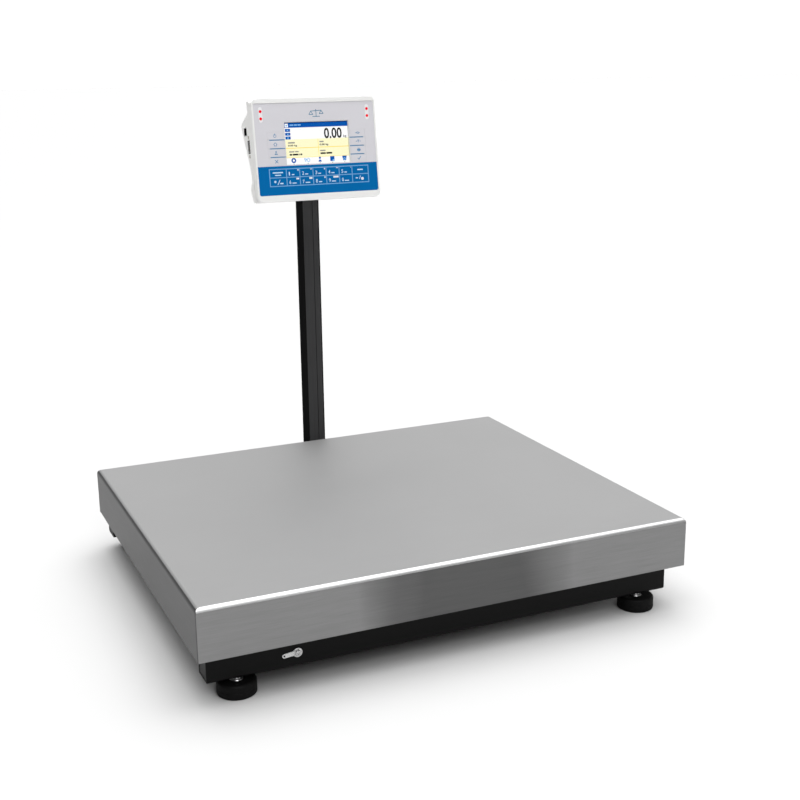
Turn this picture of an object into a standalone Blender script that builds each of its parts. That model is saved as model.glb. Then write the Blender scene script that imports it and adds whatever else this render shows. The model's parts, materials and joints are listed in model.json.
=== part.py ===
"""Bench scale: a stainless weighing pan on a single load cell and an H-shaped base,
with a column behind the pan that carries a tilting weighing terminal.

Units are metres, +Z is up, and the operator stands on the -Y side. Sizes of the platform are
measured from the pan's centre, which PLATFORM_Y places in the object's own frame.
"""

import math

import bmesh
import bpy
from mathutils import Matrix, Vector

GAP = 0.0003                       # between pieces that touch
RUN_GAP = 0.0003                   # round a shaft in its bore

# Weighing pan
PAN_WIDTH = 0.600
PAN_DEPTH = 0.500
PAN_TOP = 0.116
PAN_APRON = 0.060
PAN_SHEET = 0.0015
PAN_EDGE_RADIUS = 0.004

# Base frame of square tube
TUBE_WALL = 0.0025
TUBE_LENGTH = 0.574
TUBE_BOTTOM = 0.020
FRONT_TUBE_FACE = -0.229
FRONT_TUBE_DEPTH = 0.030
FRONT_TUBE_TOP = 0.060
REAR_TUBE_FACE = 0.234
REAR_TUBE_DEPTH = 0.030
REAR_TUBE_TOP = 0.050
BEAM_WIDTH = 0.060
BEAM_TOP = 0.047

# Levelling feet
FOOT_X = 0.252
FRONT_FOOT_Y = -0.2195
REAR_FOOT_Y = REAR_TUBE_FACE + REAR_TUBE_DEPTH / 2
PAD_RADIUS = 0.0218
PAD_HEIGHT = 0.016
STUD_RADIUS = 0.005
STUD_TOP = 0.043

# Load cell, its bolts, and the frame that it carries
CELL_LENGTH = 0.150
CELL_WIDTH = 0.040
CELL_BOTTOM = 0.050
CELL_TOP = 0.082
CELL_PAD = 0.040
CELL_BORE = 0.010
CELL_BORE_Y = 0.016
CELL_SLOT = 0.008
BOLT_Y = (0.045, 0.065)
BOLT_RADIUS = 0.004
BOLT_HEAD_RADIUS = 0.0065
BOLT_HEAD = 0.008
BOLT_REACH = 0.018
FRAME_BOTTOM = 0.085
FRAME_TOP = 0.110
FRAME_FLOOR = 0.003
CENTRE_CHANNEL_WIDTH = 0.090
ARM_LENGTH = 0.520
ARM_DEPTH = 0.040
ARM_Y = 0.200
BUMPER_X = 0.245
BUMPER_RADIUS = 0.015
WEIGH_TRAVEL = 0.0004

# Column
COLUMN_X = 0.026
COLUMN_FACE = 0.2686
COLUMN_WIDTH = 0.026
COLUMN_DEPTH = 0.028
COLUMN_WALL = 0.002
COLUMN_TOP = 0.495
COLUMN_GROOVES = (0.0030, 0.0085)
BRACKET_PLATE = 0.004
BRACKET_TOP = 0.094
COLUMN_Y = COLUMN_FACE + COLUMN_DEPTH / 2
REAR_FACE = COLUMN_FACE + COLUMN_DEPTH + GAP + BRACKET_PLATE
PLATFORM_Y = -(REAR_FACE - PAN_DEPTH / 2) / 2

# Tilt joint at the column's head
TILT_Z = 0.511
HEAD_LUG_RADIUS = 0.010
HEAD_LUG_HALF = 0.006
EAR_PLATE = 0.004
TILT_STUD_RADIUS = 0.004
KNOB_RADIUS = 0.0135
KNOB_START = COLUMN_WIDTH / 2 + 0.001
KNOB_LENGTH = 0.015

# Terminal: u runs to the right, v up the face, w out of the face; w = 0 is the overlay's surface
FACE_LEAN = math.radians(7.8)
FACE_Y = 0.238
FACE_Z = 0.5317
CASE_WIDTH = 0.177
CASE_V = (-0.0695, 0.0665)
CASE_CORNER = 0.007
CASE_WALL = 0.0022
CASE_EDGE = 0.0015
BEZEL_PROUD = 0.0006
PARTING = -0.012
OVERLAY_SIZE = (0.1724, 0.1216)
OVERLAY_SHEET = 0.0005
OVERLAY_CORNER = 0.003
LCD_CENTRE = (0.0017, 0.0072)
LCD_SIZE = (0.0934, 0.0572)
KEYPAD_CENTRE_U = 0.0012
KEYPAD_TOP = -0.0262
KEY_ROW = 0.01133
KEY_COLUMN = 0.01906
KEY_COLUMN_WIDE = 0.0239
SIDE_KEY_U = 0.0599
SIDE_KEY_CENTRE_U = 0.0009
SIDE_KEY_WIDTH = 0.0226
SIDE_KEY_TOP = 0.0238
SIDE_KEY_ROW = 0.0114
KEY_RIB = 0.0007
KEY_THICKNESS = 0.0014
SENSOR_U = 0.0766
SENSOR_V = 0.0460
SENSOR_SIZE = (0.0054, 0.0206)
USB_V, USB_W = 0.027, -0.0347
USB_SIZE = (0.0108, 0.0120)
USB_SOCKET = (0.0080, 0.0086)
SERIAL_V, SERIAL_W = 0.006, -0.0235
SERIAL_SHELL = (0.0170, 0.0084)
SERIAL_FLANGE = (0.0300, 0.0110)

# The rear shell's side outline, in v and w, from its upper parting edge round the back
SHELL_SIDE = (
    (CASE_V[1], PARTING - GAP),
    (CASE_V[1], -0.018),
    (0.0640, -0.0205),
    (0.0500, -0.0205),
    (0.0390, -0.0490),
    (0.0340, -0.0520),
    (-0.0300, -0.0220),
    (-0.0420, -0.0235),
    (-0.0490, -0.0300),
    (-0.0545, -0.0300),
    (CASE_V[0], -0.0215),
    (CASE_V[0], PARTING - GAP),
)
SLOPE_UPPER = Vector(SHELL_SIDE[5])
SLOPE_LOWER = Vector(SHELL_SIDE[6])

# Load-cell cable, from the cell's fixed end to the outlet in the column's side
CABLE_RADIUS = 0.002
CABLE_OUTLET_Z = 0.470
CABLE_STEPS = 5
CABLE_ROUTE = (
    (0.0206, -0.0550, 0.0600),
    (0.0245, -0.0550, 0.0598),
    (0.0265, -0.0530, 0.0565),
    (0.0265, -0.0450, 0.0505),
    (0.0265, -0.0300, 0.0494),
    (0.0262, 0.0900, 0.0494),
    (0.0260, 0.2050, 0.0494),
    (0.0260, 0.2300, 0.0526),
    (0.0260, 0.2480, 0.0527),
    (0.0260, 0.2670, 0.0529),
    (0.0260, 0.2790, 0.0580),
    (0.0260, 0.2826, 0.0720),
    (0.0260, 0.2826, 0.2600),
    (0.0260, 0.2826, 0.4500),
    (0.0230, 0.2826, 0.4655),
    (0.0110, 0.2826, 0.4700),
)

# Earth terminal on the front tube
EARTH_X = -0.186
EARTH_Z = 0.036
LUG_RING_RADIUS = 0.00525
LUG_TAB_HALF = 0.0025
LUG_TIP_X = -0.2012
LUG_TIP_Z = 0.0346
LUG_SHEET = 0.001
EARTH_SCREW_RADIUS = 0.002


def clear_scene():
    """Remove every object that the scene holds."""
    for obj in list(bpy.data.objects):
        bpy.data.objects.remove(obj, do_unlink=True)


def new_collection(name):
    """A collection under the scene's own."""
    collection = bpy.data.collections.new(name)
    bpy.context.scene.collection.children.link(collection)
    return collection


clear_scene()
PARTS = new_collection("bench_scale")
CUTTERS = new_collection("cutters")


def material(name, colour, roughness, metallic=0.0):
    """A Principled material of one plain colour."""
    made = bpy.data.materials.new(name)
    made.use_nodes = True
    shader = made.node_tree.nodes["Principled BSDF"]
    shader.inputs["Base Color"].default_value = (*colour, 1.0)
    shader.inputs["Roughness"].default_value = roughness
    shader.inputs["Metallic"].default_value = metallic
    return made


STAINLESS = material("stainless_sheet", (0.62, 0.62, 0.60), 0.35, 1.0)
PLAIN_STEEL = material("zinc_steel", (0.55, 0.56, 0.57), 0.30, 1.0)
BLACK_PAINT = material("black_paint", (0.020, 0.020, 0.021), 0.45)
BLACK_PROFILE = material("black_anodised", (0.030, 0.030, 0.032), 0.35, 0.6)
ALUMINIUM = material("aluminium_cell", (0.78, 0.78, 0.79), 0.35, 1.0)
BLACK_RUBBER = material("black_rubber", (0.025, 0.025, 0.026), 0.80)
CASE_PLASTIC = material("case_plastic", (0.76, 0.76, 0.75), 0.45)
OVERLAY_FILM = material("overlay_film", (0.60, 0.59, 0.63), 0.40)
KEY_BLUE = material("key_blue", (0.0, 0.13, 0.44), 0.40)
DISPLAY_GLASS = material("display_glass", (0.10, 0.12, 0.15), 0.10)
BOARD_GREEN = material("board_green", (0.03, 0.20, 0.08), 0.50)
SENSOR_LENS = material("sensor_lens", (0.85, 0.85, 0.88), 0.20)


def empty(name, location, parent=None, rotation=(0.0, 0.0, 0.0)):
    """A plain axes empty that carries other objects."""
    holder = bpy.data.objects.new(name, None)
    PARTS.objects.link(holder)
    holder.parent = parent
    holder.location = location
    holder.rotation_euler = rotation
    return holder


def from_bmesh(name, bm, look, parent, location=(0.0, 0.0, 0.0), rotation=(0.0, 0.0, 0.0)):
    """An object made from a bmesh: a part, or a cutter where look is None."""
    mesh = bpy.data.meshes.new(name)
    bm.to_mesh(mesh)
    bm.free()
    obj = bpy.data.objects.new(name, mesh)
    if look is None:
        CUTTERS.objects.link(obj)
        obj.hide_render = True
        obj.display_type = "WIRE"
    else:
        PARTS.objects.link(obj)
        mesh.materials.append(look)
    obj.parent = parent
    obj.location = location
    obj.rotation_euler = rotation
    return obj


def box(name, low, high, look, parent):
    """A box between two corners, with its origin at its middle."""
    low = Vector(low)
    high = Vector(high)
    bm = bmesh.new()
    bmesh.ops.create_cube(bm, size=1.0)
    bmesh.ops.scale(bm, vec=high - low, verts=bm.verts)
    return from_bmesh(name, bm, look, parent, (low + high) / 2)


AXIS_TURN = {
    "X": Matrix.Rotation(math.radians(90), 3, "Y"),
    "Y": Matrix.Rotation(math.radians(-90), 3, "X"),
    "Z": Matrix.Identity(3),
}


def cylinder(name, axis, radius, start, length, look, parent, sides=24):
    """A cylinder that runs from a start point along +axis."""
    bm = bmesh.new()
    bmesh.ops.create_cone(
        bm, cap_ends=True, segments=sides, radius1=radius, radius2=radius, depth=length
    )
    bmesh.ops.rotate(bm, matrix=AXIS_TURN[axis], verts=bm.verts)
    middle = Vector(start) + AXIS_TURN[axis] @ Vector((0.0, 0.0, length / 2))
    return from_bmesh(name, bm, look, parent, middle)


def turned(name, profile, look, parent, location, rotation=(0.0, 0.0, 0.0), steps=28):
    """A solid of revolution about local Z; the profile runs from the top of the axis, down its
    outer side, to the bottom of the axis."""
    bm = bmesh.new()
    verts = [bm.verts.new((radius, 0.0, height)) for radius, height in profile]
    for first, second in zip(verts, verts[1:]):
        bm.edges.new((first, second))
    obj = from_bmesh(name, bm, look, parent, location, rotation)
    screw = obj.modifiers.new("turn", "SCREW")
    screw.steps = steps
    screw.render_steps = steps
    screw.use_merge_vertices = True
    screw.merge_threshold = 0.00001
    return obj


def flat_shape(name, outline, near, far, look, parent, rotation=(0.0, 0.0, 0.0), location=None):
    """A flat outline given thickness from near to far along its own Z."""
    curve = bpy.data.curves.new(name + "_outline", "CURVE")
    curve.dimensions = "2D"
    curve.fill_mode = "BOTH"
    curve.extrude = abs(far - near) / 2
    spline = curve.splines.new("POLY")
    spline.points.add(len(outline) - 1)
    for point, (x, y) in zip(spline.points, outline):
        point.co = (x, y, 0.0, 1.0)
    spline.use_cyclic_u = True
    guide = bpy.data.objects.new(name + "_outline", curve)
    PARTS.objects.link(guide)
    evaluated = guide.evaluated_get(bpy.context.evaluated_depsgraph_get())
    mesh = bpy.data.meshes.new_from_object(evaluated)
    bpy.data.objects.remove(guide, do_unlink=True)
    bpy.data.curves.remove(curve)
    bm = bmesh.new()
    bm.from_mesh(mesh)
    bpy.data.meshes.remove(mesh)
    bmesh.ops.remove_doubles(bm, verts=bm.verts, dist=0.00001)
    bmesh.ops.translate(bm, vec=(0.0, 0.0, (near + far) / 2), verts=bm.verts)
    bmesh.ops.recalc_face_normals(bm, faces=bm.faces)
    return from_bmesh(name, bm, look, parent, location or (0.0, 0.0, 0.0), rotation)


def boolean(target, other, operation):
    """Add an exact boolean; the other object is kept as a guide among the cutters."""
    modifier = target.modifiers.new(operation.lower(), "BOOLEAN")
    modifier.operation = operation
    modifier.solver = "EXACT"
    modifier.object = other


def cut(target, *cutters):
    """Take each cutter away from the target."""
    for cutter in cutters:
        boolean(target, cutter, "DIFFERENCE")


def join(target, *others):
    """Weld each other shape to the target."""
    for other in others:
        boolean(target, other, "UNION")


def round_edges(obj, width, segments=2):
    """Bevel the edges that turn by more than a bend line does."""
    bevel = obj.modifiers.new("edges", "BEVEL")
    bevel.width = width
    bevel.segments = segments
    bevel.limit_method = "ANGLE"
    bevel.angle_limit = math.radians(35)


def arc(centre, radius, start, end, count):
    """Points on an arc, from the start angle to the end angle, in degrees."""
    angles = [math.radians(start + (end - start) * step / count) for step in range(count + 1)]
    return [(centre[0] + radius * math.cos(a), centre[1] + radius * math.sin(a)) for a in angles]


def rounded_rectangle(low, high, radius, count=4):
    """Anticlockwise outline of a rectangle with round corners."""
    left, right = low[0] + radius, high[0] - radius
    bottom, top = low[1] + radius, high[1] - radius
    return (
        arc((right, bottom), radius, -90, 0, count)
        + arc((right, top), radius, 0, 90, count)
        + arc((left, top), radius, 90, 180, count)
        + arc((left, bottom), radius, 180, 270, count)
    )


def inset_outline(outline, distance):
    """The same outline with each side moved inwards; the outline runs anticlockwise."""
    moved = []
    for index, corner in enumerate(outline):
        here = Vector(corner)
        before = (here - Vector(outline[index - 1])).normalized()
        after = (Vector(outline[(index + 1) % len(outline)]) - here).normalized()
        inward_before = Vector((-before.y, before.x))
        inward_after = Vector((-after.y, after.x))
        bisector = (inward_before + inward_after).normalized()
        moved.append(tuple(here + bisector * (distance / bisector.dot(inward_before))))
    return moved


SIDE_VIEW = (math.radians(90), 0.0, math.radians(90))     # outline x, y, z to the frame's y, z, x
FRONT_VIEW = (math.radians(90), 0.0, 0.0)                 # outline x, y, z to the frame's x, z, -y


def make_pan(platform):
    """Folded stainless pan, open below."""
    bm = bmesh.new()
    bmesh.ops.create_cube(bm, size=1.0)
    bmesh.ops.scale(bm, vec=(PAN_WIDTH, PAN_DEPTH, PAN_APRON), verts=bm.verts)
    bottom = [face for face in bm.faces if face.normal.z < -0.5]
    bmesh.ops.delete(bm, geom=bottom, context="FACES_ONLY")
    pan = from_bmesh("weighing_pan", bm, STAINLESS, platform, (0.0, 0.0, PAN_TOP - PAN_APRON / 2))
    round_edges(pan, PAN_EDGE_RADIUS, 3)
    sheet = pan.modifiers.new("sheet", "SOLIDIFY")
    sheet.thickness = PAN_SHEET
    sheet.offset = -1.0
    sheet.use_even_offset = True


def make_tube(name, face, depth, top, foot_y, platform):
    """Cross tube with welded ends and a threaded hole over each foot."""
    half = TUBE_LENGTH / 2
    tube = box(name, (-half, face, TUBE_BOTTOM), (half, face + depth, top), BLACK_PAINT, platform)
    round_edges(tube, 0.0025)
    inside = box(
        name + "_inside",
        (-half + TUBE_WALL, face + TUBE_WALL, TUBE_BOTTOM + TUBE_WALL),
        (half - TUBE_WALL, face + depth - TUBE_WALL, top - TUBE_WALL),
        None,
        platform,
    )
    cut(tube, inside)
    for side in (-1, 1):
        start = (side * FOOT_X, foot_y, TUBE_BOTTOM - TUBE_WALL)
        hole = cylinder(
            name + "_stud_hole", "Z", STUD_RADIUS + RUN_GAP, start, TUBE_WALL * 3, None, platform
        )
        cut(tube, hole)
    return tube


def make_base(platform):
    """Front and rear tubes and the beam between them."""
    front = make_tube(
        "base_front_tube", FRONT_TUBE_FACE, FRONT_TUBE_DEPTH, FRONT_TUBE_TOP, FRONT_FOOT_Y, platform
    )
    screw_hole = cylinder(
        "earth_screw_hole",
        "Y",
        EARTH_SCREW_RADIUS + RUN_GAP,
        (EARTH_X, FRONT_TUBE_FACE - TUBE_WALL, EARTH_Z),
        TUBE_WALL * 3,
        None,
        platform,
        16,
    )
    cut(front, screw_hole)
    make_tube("base_rear_tube", REAR_TUBE_FACE, REAR_TUBE_DEPTH, REAR_TUBE_TOP, REAR_FOOT_Y, platform)

    half = BEAM_WIDTH / 2
    beam_front = FRONT_TUBE_FACE + FRONT_TUBE_DEPTH + GAP
    beam_rear = REAR_TUBE_FACE - GAP
    low = (-half, beam_front, TUBE_BOTTOM)
    beam = box("base_beam", low, (half, beam_rear, BEAM_TOP), BLACK_PAINT, platform)
    hollow = box(
        "base_beam_inside",
        (-half + TUBE_WALL, beam_front - GAP, TUBE_BOTTOM + TUBE_WALL),
        (half - TUBE_WALL, beam_rear + GAP, BEAM_TOP - TUBE_WALL),
        None,
        platform,
    )
    cut(beam, hollow)
    for y in BOLT_Y:
        shank = (0.0, -y, BEAM_TOP - TUBE_WALL * 2)
        access = (0.0, -y, TUBE_BOTTOM - TUBE_WALL)
        radius = BOLT_RADIUS + RUN_GAP
        cut(beam, cylinder("beam_bolt_hole", "Z", radius, shank, TUBE_WALL * 3, None, platform))
        radius = BOLT_HEAD_RADIUS + 0.0015
        cut(beam, cylinder("beam_access_hole", "Z", radius, access, TUBE_WALL * 3, None, platform))


def make_feet(platform):
    """Four pads with moulded-in threaded studs."""
    profile = (
        (0.0, STUD_TOP),
        (STUD_RADIUS - 0.0008, STUD_TOP),
        (STUD_RADIUS, STUD_TOP - 0.0008),
        (STUD_RADIUS, PAD_HEIGHT),
        (PAD_RADIUS - 0.0040, PAD_HEIGHT),
        (PAD_RADIUS - 0.0012, PAD_HEIGHT - 0.0022),
        (PAD_RADIUS, PAD_HEIGHT - 0.0050),
        (PAD_RADIUS, 0.0022),
        (PAD_RADIUS - 0.0014, 0.0),
        (0.0, 0.0),
    )
    for end, y in (("front", FRONT_FOOT_Y), ("rear", REAR_FOOT_Y)):
        for side, sign in (("left", -1), ("right", 1)):
            name = "foot_" + end + "_" + side
            turned(name, profile, BLACK_RUBBER, platform, (sign * FOOT_X, y, 0.0))


def make_load_cell(platform):
    """Single-point cell: a block thinned by two joined bores, on a pad at each end."""
    half_length = CELL_LENGTH / 2
    half_width = CELL_WIDTH / 2
    middle = (CELL_BOTTOM + CELL_TOP) / 2
    cell = box(
        "load_cell",
        (-half_width, -half_length, CELL_BOTTOM),
        (half_width, half_length, CELL_TOP),
        ALUMINIUM,
        platform,
    )
    base_pad = box(
        "cell_base_pad",
        (-half_width, -half_length, BEAM_TOP + GAP),
        (half_width, -half_length + CELL_PAD, CELL_BOTTOM + CELL_SLOT),
        None,
        platform,
    )
    top_pad = box(
        "cell_top_pad",
        (-half_width, half_length - CELL_PAD, CELL_TOP - CELL_SLOT),
        (half_width, half_length, FRAME_BOTTOM - WEIGH_TRAVEL - GAP / 2),
        None,
        platform,
    )
    join(cell, base_pad, top_pad)
    start_x = -half_width - GAP
    through = CELL_WIDTH + 2 * GAP
    for y in (-CELL_BORE_Y, CELL_BORE_Y):
        cut(cell, cylinder("cell_bore", "X", CELL_BORE, (start_x, y, middle), through, None, platform))
    slot = box(
        "cell_slot",
        (start_x, -CELL_BORE_Y, middle - CELL_SLOT / 2),
        (-start_x, CELL_BORE_Y, middle + CELL_SLOT / 2),
        None,
        platform,
    )
    cut(cell, slot)
    radius = BOLT_RADIUS + RUN_GAP
    depth = BOLT_REACH + 0.005
    for y in BOLT_Y:
        below = (0.0, -y, BEAM_TOP - GAP)
        above = (0.0, y, FRAME_BOTTOM + GAP - depth)
        cut(cell, cylinder("cell_base_thread", "Z", radius, below, depth, None, platform))
        cut(cell, cylinder("cell_top_thread", "Z", radius, above, depth, None, platform))


def make_bolts(platform):
    """Hexagon-socket bolts: two up from the beam, two down from the frame, into the cell."""
    shank = BOLT_RADIUS
    head = BOLT_HEAD_RADIUS
    socket = (
        (0.0, BOLT_HEAD - 0.004),
        (0.0032, BOLT_HEAD - 0.004),
        (0.0032, BOLT_HEAD),
        (head - 0.0005, BOLT_HEAD),
        (head, BOLT_HEAD - 0.0005),
        (head, 0.0),
        (shank, 0.0),
    )
    under_beam = BEAM_TOP - TUBE_WALL - GAP
    on_frame = FRAME_BOTTOM + FRAME_FLOOR + GAP
    for index, y in enumerate(BOLT_Y, 1):
        reach = under_beam - BEAM_TOP - BOLT_REACH
        profile = (*socket, (shank, reach), (0.0, reach))
        flip = (math.radians(180), 0.0, 0.0)
        place = (0.0, -y, under_beam)
        turned("cell_base_bolt_" + str(index), profile, PLAIN_STEEL, platform, place, flip, 20)
        reach = FRAME_BOTTOM - on_frame - BOLT_REACH
        profile = (*socket, (shank, reach), (0.0, reach))
        place = (0.0, y, on_frame)
        turned("cell_top_bolt_" + str(index), profile, PLAIN_STEEL, platform, place, steps=20)


def make_upper_frame(platform):
    """H-shaped frame: an open channel on the cell, and an inverted channel at each end."""
    half = CENTRE_CHANNEL_WIDTH / 2
    reach = ARM_Y - ARM_DEPTH / 2 + TUBE_WALL
    frame = box(
        "upper_frame", (-half, -reach, FRAME_BOTTOM), (half, reach, FRAME_TOP), BLACK_PAINT, platform
    )
    inside = box(
        "centre_channel_inside",
        (-half + TUBE_WALL, -reach - GAP, FRAME_BOTTOM + FRAME_FLOOR),
        (half - TUBE_WALL, reach + GAP, FRAME_TOP + GAP),
        None,
        platform,
    )
    cut(frame, inside)
    for sign in (-1, 1):
        near = sign * ARM_Y - ARM_DEPTH / 2
        far = near + ARM_DEPTH
        low = (-ARM_LENGTH / 2, near, FRAME_BOTTOM)
        arm = box("frame_arm", low, (ARM_LENGTH / 2, far, FRAME_TOP), None, platform)
        hollow = box(
            "frame_arm_inside",
            (-ARM_LENGTH / 2 + TUBE_WALL, near + TUBE_WALL, FRAME_BOTTOM - GAP),
            (ARM_LENGTH / 2 - TUBE_WALL, far - TUBE_WALL, FRAME_TOP - TUBE_WALL),
            None,
            platform,
        )
        cut(arm, hollow)
        join(frame, arm)
    for y in BOLT_Y:
        start = (0.0, y, FRAME_BOTTOM - TUBE_WALL)
        radius = BOLT_RADIUS + RUN_GAP
        cut(frame, cylinder("frame_bolt_hole", "Z", radius, start, TUBE_WALL * 3, None, platform))


def make_bumpers(platform):
    """Rubber pads between the frame and the pan."""
    height = PAN_TOP - PAN_SHEET - FRAME_TOP - 2 * GAP
    for end, y in (("front", -ARM_Y), ("rear", ARM_Y)):
        for side, sign in (("left", -1), ("right", 1)):
            name = "pan_bumper_" + end + "_" + side
            start = (sign * BUMPER_X, y, FRAME_TOP + GAP)
            cylinder(name, "Z", BUMPER_RADIUS, start, height, BLACK_RUBBER, platform)


def make_earth_terminal(platform):
    """Solder lug and its screw on the front tube's face."""
    direction = Vector((LUG_TIP_X - EARTH_X, LUG_TIP_Z - EARTH_Z))
    turn = math.degrees(math.atan2(direction.y, direction.x))
    ring = (EARTH_X, EARTH_Z)
    tip = (LUG_TIP_X, LUG_TIP_Z)
    shoulder = math.degrees(math.asin(LUG_TAB_HALF / LUG_RING_RADIUS))
    outline = arc(ring, LUG_RING_RADIUS, turn - 360 + shoulder, turn - shoulder, 18)
    outline += arc(tip, LUG_TAB_HALF, turn - 90, turn + 90, 8)
    near = -FRONT_TUBE_FACE + GAP
    lug = flat_shape("earth_lug", outline, near, near + LUG_SHEET, PLAIN_STEEL, platform, FRONT_VIEW)
    start_y = FRONT_TUBE_FACE - LUG_SHEET * 3
    for x, z, radius in (
        (EARTH_X, EARTH_Z, EARTH_SCREW_RADIUS + RUN_GAP),
        (LUG_TIP_X, LUG_TIP_Z, 0.0011),
    ):
        hole = cylinder("lug_hole", "Y", radius, (x, start_y, z), LUG_SHEET * 4, None, platform, 16)
        cut(lug, hole)
    head_bottom = FRONT_TUBE_FACE - GAP - LUG_SHEET - GAP
    profile = (
        (0.0, 0.0016),
        (0.0024, 0.0014),
        (0.0036, 0.0008),
        (0.0038, 0.0),
        (EARTH_SCREW_RADIUS, 0.0),
        (EARTH_SCREW_RADIUS, -0.0070),
        (0.0, -0.0070),
    )
    turned("earth_screw", profile, PLAIN_STEEL, platform, (EARTH_X, head_bottom, EARTH_Z), FRONT_VIEW, 16)


def make_spirit_level(platform):
    """Round level on the rear tube, in sight behind the pan."""
    start = (0.200, 0.2572, REAR_TUBE_TOP + GAP)
    cylinder("spirit_level", "Z", 0.006, start, 0.0065, SENSOR_LENS, platform)


def make_column(platform):
    """Hollow profile with two grooves in its face, a cup that holds its foot, and its head."""
    left = COLUMN_X - COLUMN_WIDTH / 2
    right = COLUMN_X + COLUMN_WIDTH / 2
    rear = COLUMN_FACE + COLUMN_DEPTH
    bottom = TUBE_BOTTOM + BRACKET_PLATE + GAP
    column = box("column", (left, COLUMN_FACE, bottom), (right, rear, COLUMN_TOP), BLACK_PROFILE, platform)
    round_edges(column, 0.0012)
    inside = box(
        "column_inside",
        (left + COLUMN_WALL, COLUMN_FACE + COLUMN_WALL, bottom - COLUMN_WALL),
        (right - COLUMN_WALL, rear - COLUMN_WALL, COLUMN_TOP + COLUMN_WALL),
        None,
        platform,
    )
    cut(column, inside)
    for offset in COLUMN_GROOVES:
        x = COLUMN_X + offset
        groove = box(
            "column_groove",
            (x - 0.0004, COLUMN_FACE - COLUMN_WALL, bottom - COLUMN_WALL),
            (x + 0.0004, COLUMN_FACE + 0.0006, COLUMN_TOP + COLUMN_WALL),
            None,
            platform,
        )
        cut(column, groove)
    radius = CABLE_RADIUS + 0.001
    cable_in = (COLUMN_X, COLUMN_FACE - COLUMN_WALL, 0.0529)
    cut(column, cylinder("cable_inlet", "Y", radius, cable_in, COLUMN_WALL * 3, None, platform))
    cable_out = (left - COLUMN_WALL, COLUMN_Y, CABLE_OUTLET_Z)
    cut(column, cylinder("cable_outlet", "X", radius, cable_out, COLUMN_WALL * 3, None, platform))

    outer = BRACKET_PLATE + GAP
    front = REAR_TUBE_FACE + REAR_TUBE_DEPTH + GAP
    bracket = box(
        "column_bracket",
        (left - outer, front, TUBE_BOTTOM),
        (right + outer, rear + outer, BRACKET_TOP),
        BLACK_PAINT,
        platform,
    )
    well = box(
        "bracket_well",
        (left - GAP, front - GAP, TUBE_BOTTOM + BRACKET_PLATE),
        (right + GAP, rear + GAP, BRACKET_TOP + GAP),
        None,
        platform,
    )
    cut(bracket, well)

    play = COLUMN_WALL + GAP
    head = box(
        "column_head",
        (left, COLUMN_FACE, COLUMN_TOP + GAP),
        (right, rear, COLUMN_TOP + 0.005),
        BLACK_PAINT,
        platform,
    )
    plug = box(
        "head_plug",
        (left + play, COLUMN_FACE + play, COLUMN_TOP - 0.015),
        (right - play, rear - play, COLUMN_TOP + 0.003),
        None,
        platform,
    )
    lug_outline = arc((COLUMN_Y, TILT_Z), HEAD_LUG_RADIUS, -20, 200, 14)
    lug_outline += [(COLUMN_Y - HEAD_LUG_RADIUS, COLUMN_TOP + 0.002)]
    lug_outline += [(COLUMN_Y + HEAD_LUG_RADIUS, COLUMN_TOP + 0.002)]
    place = (COLUMN_X, 0.0, 0.0)
    lug = flat_shape(
        "head_lug", lug_outline, -HEAD_LUG_HALF, HEAD_LUG_HALF, None, platform, SIDE_VIEW, place
    )
    join(head, plug, lug)
    start = (COLUMN_X - 0.010, COLUMN_Y, TILT_Z)
    cut(head, cylinder("head_bore", "X", TILT_STUD_RADIUS + RUN_GAP, start, 0.020, None, platform))


def cable_points():
    """The route as a smooth curve: a Catmull-Rom spline through its points."""
    ends = [CABLE_ROUTE[0], *CABLE_ROUTE, CABLE_ROUTE[-1]]
    knots = [Vector(point) for point in ends]
    points = []
    for index in range(1, len(knots) - 2):
        p0, p1, p2, p3 = knots[index - 1 : index + 3]
        for step in range(CABLE_STEPS):
            t = step / CABLE_STEPS
            straight = 2 * p1 + (p2 - p0) * t
            bend = (2 * p0 - 5 * p1 + 4 * p2 - p3) * t**2 + (3 * p1 - p0 - 3 * p2 + p3) * t**3
            points.append((straight + bend) / 2)
    points.append(knots[-1])
    return points


def make_cable(platform):
    """Load-cell cable through the base and up inside the column."""
    curve = bpy.data.curves.new("load_cell_cable", "CURVE")
    curve.dimensions = "3D"
    curve.bevel_depth = CABLE_RADIUS
    curve.bevel_resolution = 2
    curve.use_fill_caps = True
    points = cable_points()
    spline = curve.splines.new("POLY")
    spline.points.add(len(points) - 1)
    for point, place in zip(spline.points, points):
        point.co = (*place, 1.0)
    curve.materials.append(BLACK_RUBBER)
    cable = bpy.data.objects.new("load_cell_cable", curve)
    PARTS.objects.link(cable)
    cable.parent = platform


def face_point(y, z):
    """A point of the platform's side view, as v and w on the terminal's face."""
    back = y - FACE_Y
    rise = z - FACE_Z
    v = back * math.sin(FACE_LEAN) + rise * math.cos(FACE_LEAN)
    w = -back * math.cos(FACE_LEAN) + rise * math.sin(FACE_LEAN)
    return Vector((v, w))


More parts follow.
